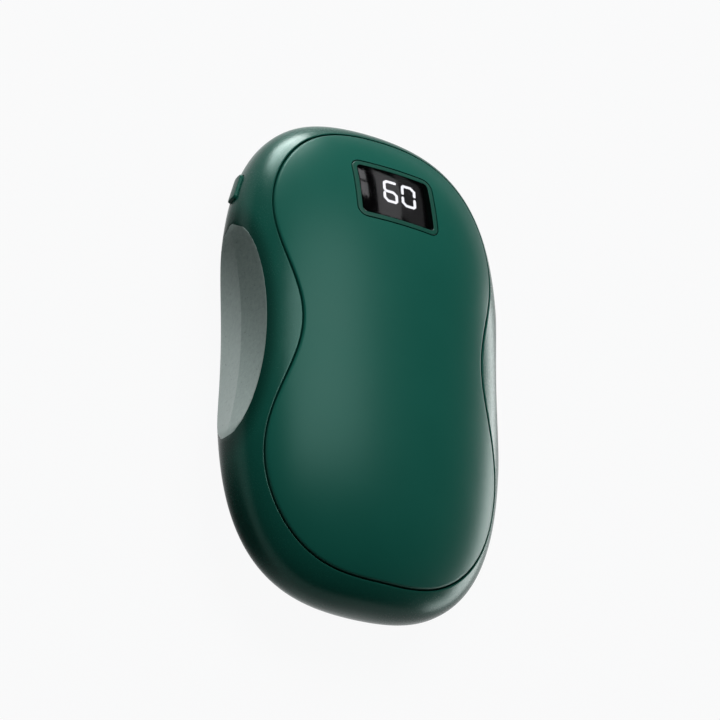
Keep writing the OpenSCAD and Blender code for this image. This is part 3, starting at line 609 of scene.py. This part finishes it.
# How each finish is made, where a tint given as a word is one of the finish colours. A piece wears the
# finish that is named as its slot.
RECIPES = {
    # The shell's last figure is how strongly the painted shade darkens it beside the scoops
    "shell_green": (painted, "shell paint", "shell", 0.26, 0.18, 0.24 * MM, 0.012 * MM, 0.2, 0.0, 0.55),
    "panel_green": (painted, "panel paint", "panel", 0.35, 0.12, 0.16 * MM, 0.006 * MM, 0.05),
    # The scoops' lighter tint is partly painted sheen for their grazing reflection
    "scoop": (painted, "scoop satin", "scoop", 0.3, 1.0, 0.4 * MM, 0.03 * MM, 0.25, 0.6, 0.0,
              (0.8 * MM, 0.4)),
    "rim_green": (moulded, "rim plastic", "rim", 0.4, 0.15),
    "button_green": (painted, "button paint", "button", 0.32, 0.15, 0.16 * MM, 0.006 * MM, 0.08),
    "smoked_glass": (smoked_glass, "smoked glass"),
    "display_black": (moulded, "display black", (0.006, 0.006, 0.007), 0.45),
    "lit_white": (glowing, "lit digits", "digits", 8),
    "unlit_grey": (moulded, "resting segments", (0.008, 0.008, 0.009), 0.5),
    "gasket": (moulded, "adhesive ring", (0.012, 0.012, 0.012), 0.8),
    "chip": (moulded, "black resin", (0.015, 0.015, 0.016), 0.45),
    "frame_plastic": (moulded, "frame plastic", (0.62, 0.62, 0.58), 0.55),
    "plunger": (moulded, "plunger plastic", (0.6, 0.58, 0.5), 0.4),
    "tape": (moulded, "cell tape", (0.8, 0.78, 0.68), 0.7),
    "lead_red": (moulded, "red insulation", (0.45, 0.02, 0.015), 0.42),
    "lead_black": (moulded, "black insulation", (0.012, 0.012, 0.013), 0.42),
    "ceramic": (moulded, "ceramic", (0.42, 0.3, 0.18), 0.5),
    "ferrite": (moulded, "ferrite", (0.06, 0.06, 0.065), 0.65),
    "thermistor": (moulded, "sensor bead", (0.02, 0.025, 0.14), 0.25),
    "socket_steel": (metal, "socket steel", (0.6, 0.61, 0.63), 0.28),
    "screw_steel": (metal, "screw steel", (0.5, 0.5, 0.52), 0.36),
    "gold": (metal, "contact gold", (0.8, 0.56, 0.2), 0.25),
    "pins": (metal, "tinned pins", (0.66, 0.64, 0.58), 0.32),
    "cell_foil": (foil, "cell pouch", (0.62, 0.63, 0.66)),
    "board": (circuit_board, "circuit board", (0.012, 0.09, 0.03), (0.05, 0.2, 0.07)),
    "heater_film": (film, "heater film", (0.5, 0.2, 0.03), (0.55, 0.32, 0.14)),
    "foam": (soft_foam, "foam", (0.05, 0.05, 0.055)),
}
FINISHES = {}


def finish(name):
    """The material of a finish, made the first time that it is asked for."""
    if name not in FINISHES:
        make, *recipe = RECIPES[name]
        if len(recipe) > 1 and isinstance(recipe[1], str):
            recipe[1] = getattr(bpy.context.scene.warmer_colours, recipe[1])
        FINISHES[name] = make(*recipe)
    return FINISHES[name]


# Pieces


class WarmerOperator(bpy.types.Operator):
    """Shared parts of the operators that make pieces."""

    bl_options = {"REGISTER", "UNDO"}

    def pebble(self):
        return Pebble(bpy.context.scene.warmer_pebble)


# Columns round the pebble, and rows of each band of its shell
AROUND = 360
SEAM_ROWS = 4
PEBBLE_ROWS = 26
EDGE_ROWS = 4
SCOOP_ROWS = 8
INSIDE_ROWS = 8
# Search for a scoop's crossing, in steps and then by halving, and the share of each step back from it
CROSSING_STEPS = 80
CROSSING_HALVINGS = 32
SHARE_BACK = 0.002
# How near to a scoop's form a face on it lies, and how far from the pebble's outline its ridge does
SCOOP_CLOSE = 0.3 * MM
RIDGE_CLEAR = 0.03 * MM
# Ends of the cuts for the button and the socket, the socket's size and gap, and a hair's breadth
BUTTON_CUT = -4 * MM, 2 * MM
SOCKET = 8.94 * MM, 3.26 * MM
SOCKET_GAP = 0.15 * MM
SOCKET_CUT = -5 * MM, 2 * MM
HAIR = 0.01 * MM


def scoop_crossing(pebble, start, end):
    """Share of the way from the seam to the plan's outline at which the scoop cuts the pebble."""
    def past(share):
        p = start.lerp(end, share)
        return abs(p.x) - pebble.scoop(p.y, pebble.crown(p.x, p.y))
    shares = steps(0, 1, CROSSING_STEPS)
    for low, high in zip(shares, shares[1:]):
        if past(high) > 0:
            for _ in range(CROSSING_HALVINGS):
                middle = (low + high) / 2
                low, high = (low, middle) if past(middle) > 0 else (middle, high)
            return low
    return 1.0


def shell_column(pebble, angle):
    """Points of the shell's section at an angle, from the front ledge's underside and back to it."""
    s = pebble.sizes
    ledge = ((-LEDGE_WIDTH, LEDGE_UNDER), (-LEDGE_WIDTH, LEDGE_DEPTH), (s.seam, LEDGE_DEPTH),
             (s.seam, s.seam_edge * 3))
    outside = [pebble.on_crown(pebble.panel(angle, out), depth) for out, depth in ledge]
    for in_, down in reversed(rounding(s.seam_edge, SEAM_ROWS)):
        outside.append(pebble.on_crown(pebble.panel(angle, s.seam + in_), down))
    start, end = pebble.panel(angle, s.seam + s.seam_edge), pebble.plan(angle)
    edge_share = scoop_crossing(pebble, start, end)
    before_share = edge_share
    before = edge = pebble.on_crown(start.lerp(end, edge_share))
    while (before - edge).length < s.scoop_edge:
        before_share -= SHARE_BACK
        before = pebble.on_crown(start.lerp(end, before_share))
    for k in range(1, PEBBLE_ROWS):
        share = before_share * math.sin(QUARTER_TURN * k / PEBBLE_ROWS)
        outside.append(pebble.on_crown(start.lerp(end, share)))

    def on_flank(z):
        return Vector((math.copysign(pebble.flank(edge.y, z), edge.x), edge.y, z))
    after_z = max(0.0, edge.z - s.scoop_edge)
    after = on_flank(after_z) if edge_share < 1 else Vector((edge.x, edge.y, 0))
    for t in steps(0, 1, EDGE_ROWS):
        outside.append(before * (1 - t) ** 2 + edge * (2 * t * (1 - t)) + after * t ** 2)
    for z in steps(after_z, 0, SCOOP_ROWS)[1:]:
        outside.append(on_flank(z) if edge_share < 1 else after)

    inside = []
    inner_seam, inner_plan = pebble.panel(angle, s.seam), pebble.plan(angle, s.wall)
    for k in range(INSIDE_ROWS + 1):
        p = inner_seam.lerp(inner_plan, math.sin(QUARTER_TURN * k / INSIDE_ROWS))
        scooped = (pebble.half_width - s.scoop_depth + (p.y - s.scoop_place) ** 2 / (2 * s.scoop_radius)
                   - s.wall)
        z = max(0.0, min(pebble.crown(p.x, p.y, s.wall), pebble.crown(p.x, p.y) - LEDGE_UNDER))
        x = math.copysign(min(abs(p.x), scooped), p.x)
        inside.append(Vector((x, p.y, 0 if k == INSIDE_ROWS else z)))
    return outside + below(outside[-2::-1]) + below(inside) + inside[-2::-1]


def prism(outline, grow, low, high):
    """A straight block of an outline, along Z from low to high."""
    bm = bmesh.new()
    ring = bmesh.ops.create_circle(bm, cap_ends=True, segments=len(outline), radius=1)["verts"]
    for v, spot in zip(ring, outline):
        v.co = (*outline_point(spot, grow), low)
    return thickened(bm, high - low)


def button_frame(pebble):
    """Matrix from the button's own frame, with X along the flank, Y across it and Z outwards."""
    b = bpy.context.scene.warmer_button
    small = 1e-5
    slope = (pebble.half_plan(b.place + small) - pebble.half_plan(b.place - small)) / (2 * small)
    out = Vector((-1, -slope, 0)).normalized()
    along = Vector((0, 0, 1)).cross(out)
    origin = Vector((-pebble.half_plan(b.place), b.place, pebble.lift - b.drop))
    m = Matrix((along, Vector((0, 0, 1)), out)).transposed().to_4x4()
    m.translation = origin
    return m


def socket_frame(pebble):
    """Matrix of the socket's mouth: X across, Y up, Z out of the top end."""
    m = Matrix(((-1, 0, 0), (0, 0, 1), (0, 1, 0))).to_4x4()
    m.translation = Vector((0, pebble.half_length, pebble.lift))
    return m


class WARMER_OT_shell(WarmerOperator):
    """Make the pebble's shell with its scoops, seam walls, ledges, button hole and socket mouth"""

    bl_idname = "warmer.shell"
    bl_label = "Shell"

    def execute(self, context):
        pebble = self.pebble()
        columns = [shell_column(pebble, FULL_TURN * i / AROUND) for i in range(AROUND)]
        bm = wrapped(columns, closed_rows=True)
        for f in bm.faces:
            middle = f.calc_center_median()
            scooped = pebble.scoop(middle.y, middle.z)
            cut_in = scooped < pebble.bulge(middle.y, middle.z)
            f.material_index = int(cut_in and abs(middle.x) > scooped - SCOOP_CLOSE)
        close_up(bm)
        moved(bm, 0, 0, pebble.lift)
        b = context.scene.warmer_button
        hole = prism(rounded_outline(b.length, b.width, b.radius), b.gap, *BUTTON_CUT)
        hole.transform(button_frame(pebble))
        mouth = prism(rounded_outline(*SOCKET, SOCKET[1] / 2 - HAIR), SOCKET_GAP, *SOCKET_CUT)
        mouth.transform(socket_frame(pebble))
        outwards(mouth)

        def ridge(edge):
            return all(abs(v.co.z - pebble.lift) < SAME_PLACE
                       and pebble.half_plan(v.co.y) - abs(v.co.x) > RIDGE_CLEAR for v in edge.verts)
        finished("pebble_shell", bm, "outer_shell", "shell_green", inlay=["scoop"], cuts=[hole, mouth],
                 ridge=ridge)
        return {"FINISHED"}


# Rows over and under a panel, the two rings inside its edge, in roundings, and the ring on its side
PANEL_ROWS = 32
UNDER_ROWS = 8
EDGE_RINGS = 2.5, 1.6
SIDE_RING = 0.9 * MM
# How far the window's opening clears the rim, and a height that reaches through any panel
OPENING_GAP = 0.24 * MM
THROUGH = 50 * MM
# A point this near the floor lies on the back panel's flat foot
ON_FLOOR = 1e-6


def panel_column(pebble, angle):
    """Points of a panel's section at an angle, from its middle over its edge and back under it."""
    s = pebble.sizes
    over, second = (pebble.panel(angle, -ring * s.panel_edge) for ring in EDGE_RINGS)
    points = [pebble.on_crown(over * math.sin(turn)) for turn in steps(0, QUARTER_TURN, PANEL_ROWS)]
    points.append(pebble.on_crown(second))
    points += [pebble.on_crown(pebble.panel(angle, -in_), down) for in_, down in rounding(s.panel_edge)]
    points += [pebble.on_crown(pebble.panel(angle), depth) for depth in (SIDE_RING, s.panel_thickness)]
    under = pebble.panel(angle, -LEDGE_WIDTH)
    points += [pebble.on_crown(under * math.cos(turn), s.panel_thickness)
               for turn in steps(0, QUARTER_TURN, UNDER_ROWS)]
    return points


class WARMER_OT_panels(WarmerOperator):
    """Make the front panel with its window opening, and the back panel with its flat foot"""

    bl_idname = "warmer.panels"
    bl_label = "Panels"

    def execute(self, context):
        pebble, d = self.pebble(), context.scene.warmer_display
        columns = [panel_column(pebble, FULL_TURN * i / AROUND) for i in range(AROUND)]
        bm = wrapped(columns)
        close_up(bm)
        moved(bm, 0, 0, pebble.lift)
        opening = prism(rounded_outline(d.rim_width, d.rim_length, d.rim_radius), OPENING_GAP, 0, THROUGH)
        moved(opening, 0, d.place, 0)
        finished("front_warming_panel", bm, "front_panel", "panel_green", cuts=[opening])

        bm = wrapped([below(column) for column in columns])
        close_up(bm)
        moved(bm, 0, 0, pebble.lift)
        everything = bm.verts[:] + bm.edges[:] + bm.faces[:]
        trimmed = bmesh.ops.bisect_plane(bm, geom=everything, plane_co=(0, 0, 0), plane_no=(0, 0, -1),
                                         clear_outer=True, dist=SAME_PLACE)["geom_cut"]
        bmesh.ops.edgeloop_fill(bm, edges=[e for e in trimmed if isinstance(e, bmesh.types.BMEdge)])
        outwards(bm)
        finished("back_warming_panel", bm, "back_panel", "panel_green",
                 ridge=lambda edge: all(abs(v.co.z) < ON_FLOOR for v in edge.verts))
        return {"FINISHED"}


# The rim's foot, its flange with its gap to the panel, the lip under the glass, and rings on its face
RIM_FOOT = 3 * MM
RIM_FLANGE = 1 * MM
FLANGE_CLEAR = 0.4 * MM
RIM_LIP = 0.6 * MM
FACE_RINGS = 0.4, 0.7
# The glass's gap to the rim, the rounding of its edge, and the rings over its middle
GLASS_GAP = 0.05 * MM
GLASS_EDGE = 0.03 * MM
GLASS_ROWS = 10
GLASS_STEP = 0.099


class WARMER_OT_window(WarmerOperator):
    """Make the window's rim and its smoked glass"""

    bl_idname = "warmer.window"
    bl_label = "Window"

    def execute(self, context):
        pebble, d = self.pebble(), context.scene.warmer_display
        outline = rounded_outline(d.rim_width, d.rim_length, d.rim_radius, corner=12, side=12)

        def at(spot, out, depth, share=1):
            p = outline_point(spot, out) * share + Vector((0, d.place))
            return pebble.on_crown(p, depth) + Vector((0, 0, pebble.lift))
        lip = -d.rim_face - RIM_LIP
        under = pebble.sizes.panel_thickness + FLANGE_CLEAR
        seat = d.glass_recess + d.glass_thickness + GLASS_GAP
        profile = [(RIM_FLANGE, RIM_FOOT), (RIM_FLANGE, under), (0, under), (0, 2 * d.rim_edge)]
        profile += [(-in_, down) for in_, down in reversed(rounding(d.rim_edge))]
        profile += [(-ring * d.rim_face, 0) for ring in FACE_RINGS]
        profile += [(-d.rim_face + in_, down) for in_, down in rounding(d.rim_edge)]
        profile += [(-d.rim_face, seat), (lip, seat), (lip, RIM_FOOT)]
        rings = [[at(spot, out, depth) for out, depth in profile] for spot in outline]
        bm = wrapped(rings, closed_rows=True)
        close_up(bm)
        finished("display_rim", bm, "window_rim", "rim_green")

        top, bottom = d.glass_recess, d.glass_recess + d.glass_thickness
        reach = -d.rim_face - GLASS_GAP
        inner = reach - GLASS_EDGE
        shares = [k * GLASS_STEP for k in range(GLASS_ROWS + 1)]
        bm = wrapped([[at(spot, inner, top, share) for share in shares]
                      + [at(spot, reach - in_, top + down) for in_, down in rounding(GLASS_EDGE, 3)]
                      + [at(spot, reach, bottom - GLASS_EDGE), at(spot, inner, bottom)]
                      + [at(spot, inner, bottom, share) for share in reversed(shares)] for spot in outline])
        close_up(bm)
        finished("display_glass", bm, "window_glass", "smoked_glass")
        return {"FINISHED"}


# Each digit as open lines through shares of its width and height
SIX = [[(1, 1), (0.2, 1), (0, 0.9), (0, 0.6), (0.13, 0.5), (0.74, 0.5), (1, 0.37), (1, 0.08), (0.88, 0),
        (0.26, 0), (0, 0.15), (0, 0.43)]]
NOUGHT = [[(0, 0.56), (0, 0.93), (0.1, 1), (0.7, 1), (1, 0.85), (1, 0.56)],
          [(1, 0.44), (1, 0.07), (0.88, 0), (0.28, 0), (0, 0.15), (0, 0.44)]]
DIGIT_SLANT = 0.08
SEGMENT_THICKNESS = 0.08 * MM
# Rounding of a stroke's ends, as a share of its width, and its steps
END_ROUND = 0.42
END_STEPS = 4


def added(bm, other):
    """Puts one bmesh's shape into another, and frees it."""
    carrier = bpy.data.meshes.new("carrier")
    other.to_mesh(carrier)
    other.free()
    bm.from_mesh(carrier)
    bpy.data.meshes.remove(carrier)


def ribbon(line, width, thickness):
    """A flat strip with mitred corners and rounded ends along a line."""
    rows = []
    for k, point in enumerate(line):
        before = (point - line[k - 1]).normalized() if k else (line[1] - point).normalized()
        after = (line[k + 1] - point).normalized() if k < len(line) - 1 else before
        across = Vector((-(before + after).y, (before + after).x)).normalized()
        reach = width / 2 / across.dot(Vector((-before.y, before.x)))
        rows.append((point + across * reach, point - across * reach))
    bm = laid(1, len(rows) - 1, lambda side, k: (*rows[k][side], 0))
    ends = [v for v in bm.verts if len(v.link_edges) == 2]
    bmesh.ops.bevel(bm, geom=ends, offset=width * END_ROUND, offset_type="OFFSET", segments=END_STEPS,
                    profile=0.5, affect="VERTICES", material=-1)
    return thickened(bm, thickness)


class WARMER_OT_digits(WarmerOperator):
    """Make the lit digits on the display module"""

    bl_idname = "warmer.digits"
    bl_label = "Digits"

    def execute(self, context):
        pebble, d = self.pebble(), context.scene.warmer_display
        bm = bmesh.new()
        left = d.digits_right - (d.digit_pitch + d.digit_width) / 2
        for place, lines in ((left, SIX), (left + d.digit_pitch, NOUGHT)):
            for line in lines:
                spots = [(x * d.digit_width, (y - 0.5) * d.digit_height) for x, y in line]
                spots = [Vector((place + x + DIGIT_SLANT * y, d.digits_up + y)) for x, y in spots]
                added(bm, ribbon(spots, d.stroke, SEGMENT_THICKNESS))
        small = 0.1 * MM
        slope = math.atan2(pebble.crown(0, d.place + small) - pebble.crown(0, d.place - small), 2 * small)
        bmesh.ops.rotate(bm, verts=bm.verts, matrix=Matrix.Rotation(slope, 3, "X"))
        middle = sum(corner[2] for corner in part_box("lit_segments")) / 2
        mine = [v.co.z for v in bm.verts]
        moved(bm, 0, d.place, middle - (min(mine) + max(mine)) / 2)
        finished("display_digits", bm, "lit_segments", "lit_white")
        return {"FINISHED"}


# The button: rows over its cap, how far below the flank its side still follows it, its flange inside the
# shell with what that adds to its length and width, and its stem
CAP_ROWS = 8
SIDE_BELOW = 0.3 * MM
FLANGE_BACK = 3.81 * MM
FLANGE_FRONT = FLANGE_BACK - 0.6 * MM
FLANGE_ADDS = 1.4 * MM, -1 * MM
STEM_RADIUS = 1 * MM
STEM_LENGTH = 0.51 * MM
STEM_MIDDLE = 0.245 * MM


class WARMER_OT_button(WarmerOperator):
    """Make the side button with its rounded cap, its flange and its stem"""

    bl_idname = "warmer.button"
    bl_label = "Button"

    def execute(self, context):
        pebble, b = self.pebble(), context.scene.warmer_button
        to_place = button_frame(pebble)
        outline = rounded_outline(b.length, b.width, b.radius, side=12)

        def on_flank(spot, out, share, down):
            p = outline_point(spot, out) * share
            drawn_in = pebble.half_plan(b.place) - pebble.flank(b.place, p.y - b.drop)
            return Vector((*p, b.proud - down - drawn_in * -to_place[0][2]))

        def section(spot):
            top = [on_flank(spot, -2 * b.edge, k / CAP_ROWS, 0) for k in range(CAP_ROWS + 1)]
            edge = [on_flank(spot, -in_, 1, down) for in_, down in rounding(b.edge)]
            side = [on_flank(spot, 0, 1, b.proud + SIDE_BELOW)]
            under = [Vector((*outline_point(spot), -FLANGE_FRONT)), Vector((0, 0, -FLANGE_FRONT))]
            return top + edge + side + under
        bm = wrapped([section(spot) for spot in outline])
        close_up(bm)
        flange = rounded_outline(b.length + FLANGE_ADDS[0], b.width + FLANGE_ADDS[1], b.radius)
        added(bm, prism(flange, 0, -FLANGE_BACK, -FLANGE_FRONT + HAIR))
        stem = bmesh.ops.create_cone(bm, cap_ends=True, segments=40, radius1=STEM_RADIUS,
                                     radius2=STEM_RADIUS, depth=STEM_LENGTH)["verts"]
        bmesh.ops.translate(bm, verts=stem, vec=(0, 0, -FLANGE_BACK - STEM_MIDDLE))
        bmesh.ops.transform(bm, verts=bm.verts, matrix=to_place)
        outwards(bm)
        finished("power_button", bm, "button_cap", "button_green", body="button")
        return {"FINISHED"}


# The parts that keep their CAD shape, by slot
CAD_FINISHES = {
    "gasket": "front_panel_gasket back_panel_gasket",
    "display_black": "display_module",
    "unlit_grey": "unlit_segments",
    "pins": "display_pins",
    "board": "main_board cell_board",
    "chip": "control_chip charger_chip socket_tongue switch_body",
    "ferrite": "power_inductor",
    "ceramic": "chip_capacitors",
    "socket_steel": "socket_shell",
    "gold": "socket_contacts",
    "plunger": "switch_plunger",
    "cell_foil": "front_cell back_cell",
    "tape": "cell_tape",
    "lead_red": "positive_lead",
    "lead_black": "negative_lead",
    "frame_plastic": "inner_frame",
    "heater_film": "front_heater back_heater front_heater_tail back_heater_tail",
    "foam": "front_foam back_foam",
    "thermistor": "thermistors",
    "screw_steel": "case_screws board_screws",
}


class WARMER_OT_inner_finishes(WarmerOperator):
    """Give every part that keeps its CAD shape its own finish"""

    bl_idname = "warmer.inner_finishes"
    bl_label = "Inner parts"

    def execute(self, context):
        for slot, nodes in CAD_FINISHES.items():
            for ob in (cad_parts[node] for node in nodes.split()):
                if not ob.material_slots:
                    ob.data.materials.append(None)
                for worn in ob.material_slots:
                    worn.material = finish(slot)
        return {"FINISHED"}


# Camera: the turn from the object's axes to the picture's right, up and back, its aim, its distance, the
# width that its focal length goes with, and the nearest and furthest that it sees
VIEW_ROWS = ((0.8313, 0.0006, 0.5558), (-0.2296, 0.9111, 0.3424), (-0.5062, -0.4122, 0.7575))
VIEW_AIM = 0.077 * MM, 2.272 * MM
VIEW_DISTANCE = 772 * MM
SENSOR_WIDTH = 36
CLIP = 0.05, 20
# The floor: its radius and glow, the share of that glow in the picture, and its spots of painted shade in
# mirrors
FLOOR_RADIUS = 4
FLOOR_GLOW = 0.985, 0.987, 0.99
FLOOR_LIFT = 0.95
FLOOR_SHADED = 0.04
FLOOR_SHADES = (((-0.042, -0.042, 0), 38 * MM), ((-0.05, 0.026, 0), 32 * MM),
                ((0.06, 0.115, 0), 75 * MM))
# The lamps' aim, and their names, places, widths, heights, levels and whether they are highlights alone
LIGHT_AIM = Vector((0, 0, 15 * MM))
LAMPS = (("overhead softbox", (-0.04, 0.24, 0.68), 0.5, 0.36, "overhead", False),
         ("back softbox", (-0.15, 0.66, 0.11), 0.36, 0.2, "behind", False),
         ("right softbox", (0.45, -0.01, 0.05), 0.3, 0.09, "right", False),
         ("right strip", (0.1, -0.016, 0.012), 0.165, 0.028, "right_strip", True),
         ("back strip", (-0.037, 0.22, 0.014), 0.09, 0.025, "back_strip", True))
# The panes that the glass mirrors: where they are seen in it, their upright and their distance, and their
# names, directions, widths, heights and shares of the pane level
GLASS_MIDDLE = Vector((0, 32 * MM, 28 * MM))
PANE_UP = Vector((-0.06, -0.69, 0.72))
PANE_DISTANCE = 0.8
PANES = (("left pane", (0.325, 0.81, 0.51), 0.054, 0.07, 0.56),
         ("lower left pane", (0.32, 0.73, 0.59), 0.054, 0.08, 0.58),
         ("middle pane", (0.46, 0.715, 0.525), 0.104, 0.25, 1.9),
         ("faint pane", (0.565, 0.7, 0.43), 0.11, 0.25, 0.6))


def softbox(name, place, width, height, watts, highlight):
    """An area light turned towards the object's middle. A highlight shows on glossy surfaces alone."""
    light = bpy.data.lights.new(name, "AREA")
    light.shape, light.size, light.size_y, light.energy = "RECTANGLE", width, height, watts
    ob = bpy.data.objects.new(name, light)
    turn = (LIGHT_AIM - Vector(place)).to_track_quat("-Z", "Y").to_matrix().to_4x4()
    ob.matrix_world = Matrix.Translation(place) @ turn
    ob.visible_camera, ob.visible_diffuse = False, not highlight
    bpy.context.scene.collection.objects.link(ob)
    return ob


def mirrored_pane(name, towards, width, height, watts):
    """A small light that the display's glass mirrors as an upright pane."""
    ob = softbox(name, (0, 0, 0), width, height, watts, True)
    back = Vector(towards).normalized()
    side = PANE_UP.cross(back).normalized()
    turn = Matrix((side, back.cross(side), back)).transposed().to_4x4()
    ob.matrix_world = Matrix.Translation(GLASS_MIDDLE + back * PANE_DISTANCE) @ turn


def pale_floor(name, tint):
    """Plain floor: pale to the camera and, bar spots of painted shade, in reflections; it keeps a soft
    shadow.
    """
    p = Paint(name)
    camera, glossy, through = (p.node("ShaderNodeLightPath", output=f"Is {kind} Ray")
                               for kind in ("Camera", "Glossy", "Transmission"))
    tone = p.blend(p.noise(0.4, 2), shade(tint, 0.985), tint)
    # To glossy rays the matt floor is nearly black, so that they see the glow with its painted shade
    matt = p.node("ShaderNodeBsdfDiffuse", inputs={"Color": p.blend(glossy * 0.95, tone, (0, 0, 0))})
    white = p.node("ShaderNodeEmission", inputs={"Color": FLOOR_GLOW, "Strength": 1.0})
    # Painted shade: spots where the floor's glow is dimmed in reflections
    glow = 1.0
    for shaded, reach in FLOOR_SHADES:
        away = p.node("ShaderNodeVectorMath", {"operation": "DISTANCE"},
                      {0: p.place(), 1: shaded}, "Value")
        glow = p.fade(away, reach / 4, reach, FLOOR_SHADED, 1.0) * glow
    seen = (camera + through) * FLOOR_LIFT + glossy * glow
    return p.wear(p.node("ShaderNodeMixShader", inputs={0: seen, 1: matt, 2: white}))


class WARMER_OT_studio(WarmerOperator):
    """Make the floor, the lights, the surroundings and the camera"""

    bl_idname = "warmer.studio"
    bl_label = "Studio"

    def execute(self, context):
        scene, levels = context.scene, context.scene.warmer_studio
        bm = bmesh.new()
        bmesh.ops.create_circle(bm, cap_ends=True, segments=96, radius=FLOOR_RADIUS)
        made_object("floor", bm, [pale_floor("floor", scene.warmer_colours.floor)])
        for name, place, width, height, level, highlight in LAMPS:
            softbox(name, place, width, height, getattr(levels, level), highlight)
        for name, towards, width, height, share in PANES:
            mirrored_pane(name, towards, width, height, levels.pane * share)

        sky = Paint("surroundings", world=True)
        even = sky.node("ShaderNodeBackground", inputs={"Color": (1, 1, 1), "Strength": levels.sky})
        pale = sky.node("ShaderNodeBackground", inputs={"Color": FLOOR_GLOW, "Strength": 1.0})
        seen = sky.node("ShaderNodeLightPath", output="Is Camera Ray")
        scene.world = sky.wear(sky.node("ShaderNodeMixShader", inputs={0: seen, 1: even, 2: pale}))

        data = bpy.data.cameras.new("camera")
        data.sensor_width, data.lens = SENSOR_WIDTH, levels.focal_length
        data.clip_start, data.clip_end = CLIP
        camera = bpy.data.objects.new("camera", data)
        turn = Matrix(VIEW_ROWS).transposed()
        place = turn @ Vector((*VIEW_AIM, VIEW_DISTANCE)) + Vector((0, 0, self.pebble().lift))
        camera.matrix_world = Matrix.Translation(place) @ turn.to_quaternion().to_matrix().to_4x4()
        scene.collection.objects.link(camera)
        scene.camera = camera
        scene.view_settings.view_transform = "Standard"
        return {"FINISHED"}


class WARMER_PT_pieces(bpy.types.Panel):
    """Lists the pieces, the sizes and the colours"""

    bl_idname = "WARMER_PT_pieces"
    bl_label = "Hand warmer"
    bl_space_type = "VIEW_3D"
    bl_region_type = "UI"
    bl_category = "Hand warmer"

    def draw(self, context):
        for operator in PIECES:
            self.layout.operator(operator.bl_idname)
        for name in GROUPS:
            box = self.layout.box()
            group = getattr(context.scene, name)
            for prop in group.bl_rna.properties:
                if prop.identifier not in ("rna_type", "name"):
                    box.prop(group, prop.identifier)


GROUPS = {"warmer_pebble": PebbleSizes, "warmer_display": DisplaySizes, "warmer_button": ButtonSizes,
          "warmer_colours": FinishColours, "warmer_studio": StudioLevels}
PIECES = [WARMER_OT_studio, WARMER_OT_shell, WARMER_OT_panels, WARMER_OT_window, WARMER_OT_digits,
          WARMER_OT_button, WARMER_OT_inner_finishes]
CLASSES = (*GROUPS.values(), *PIECES, WARMER_PT_pieces)


def register():
    for cls in CLASSES:
        bpy.utils.register_class(cls)
    for name, cls in GROUPS.items():
        setattr(bpy.types.Scene, name, PointerProperty(type=cls))


def unregister():
    for name in GROUPS:
        delattr(bpy.types.Scene, name)
    for cls in reversed(CLASSES):
        bpy.utils.unregister_class(cls)


def main():
    register()
    bpy.ops.warmer.studio()
    bpy.ops.warmer.shell()
    bpy.ops.warmer.panels()
    bpy.ops.warmer.window()
    bpy.ops.warmer.digits()
    bpy.ops.warmer.button()
    bpy.ops.warmer.inner_finishes()


if __name__ == "__main__":
    main()
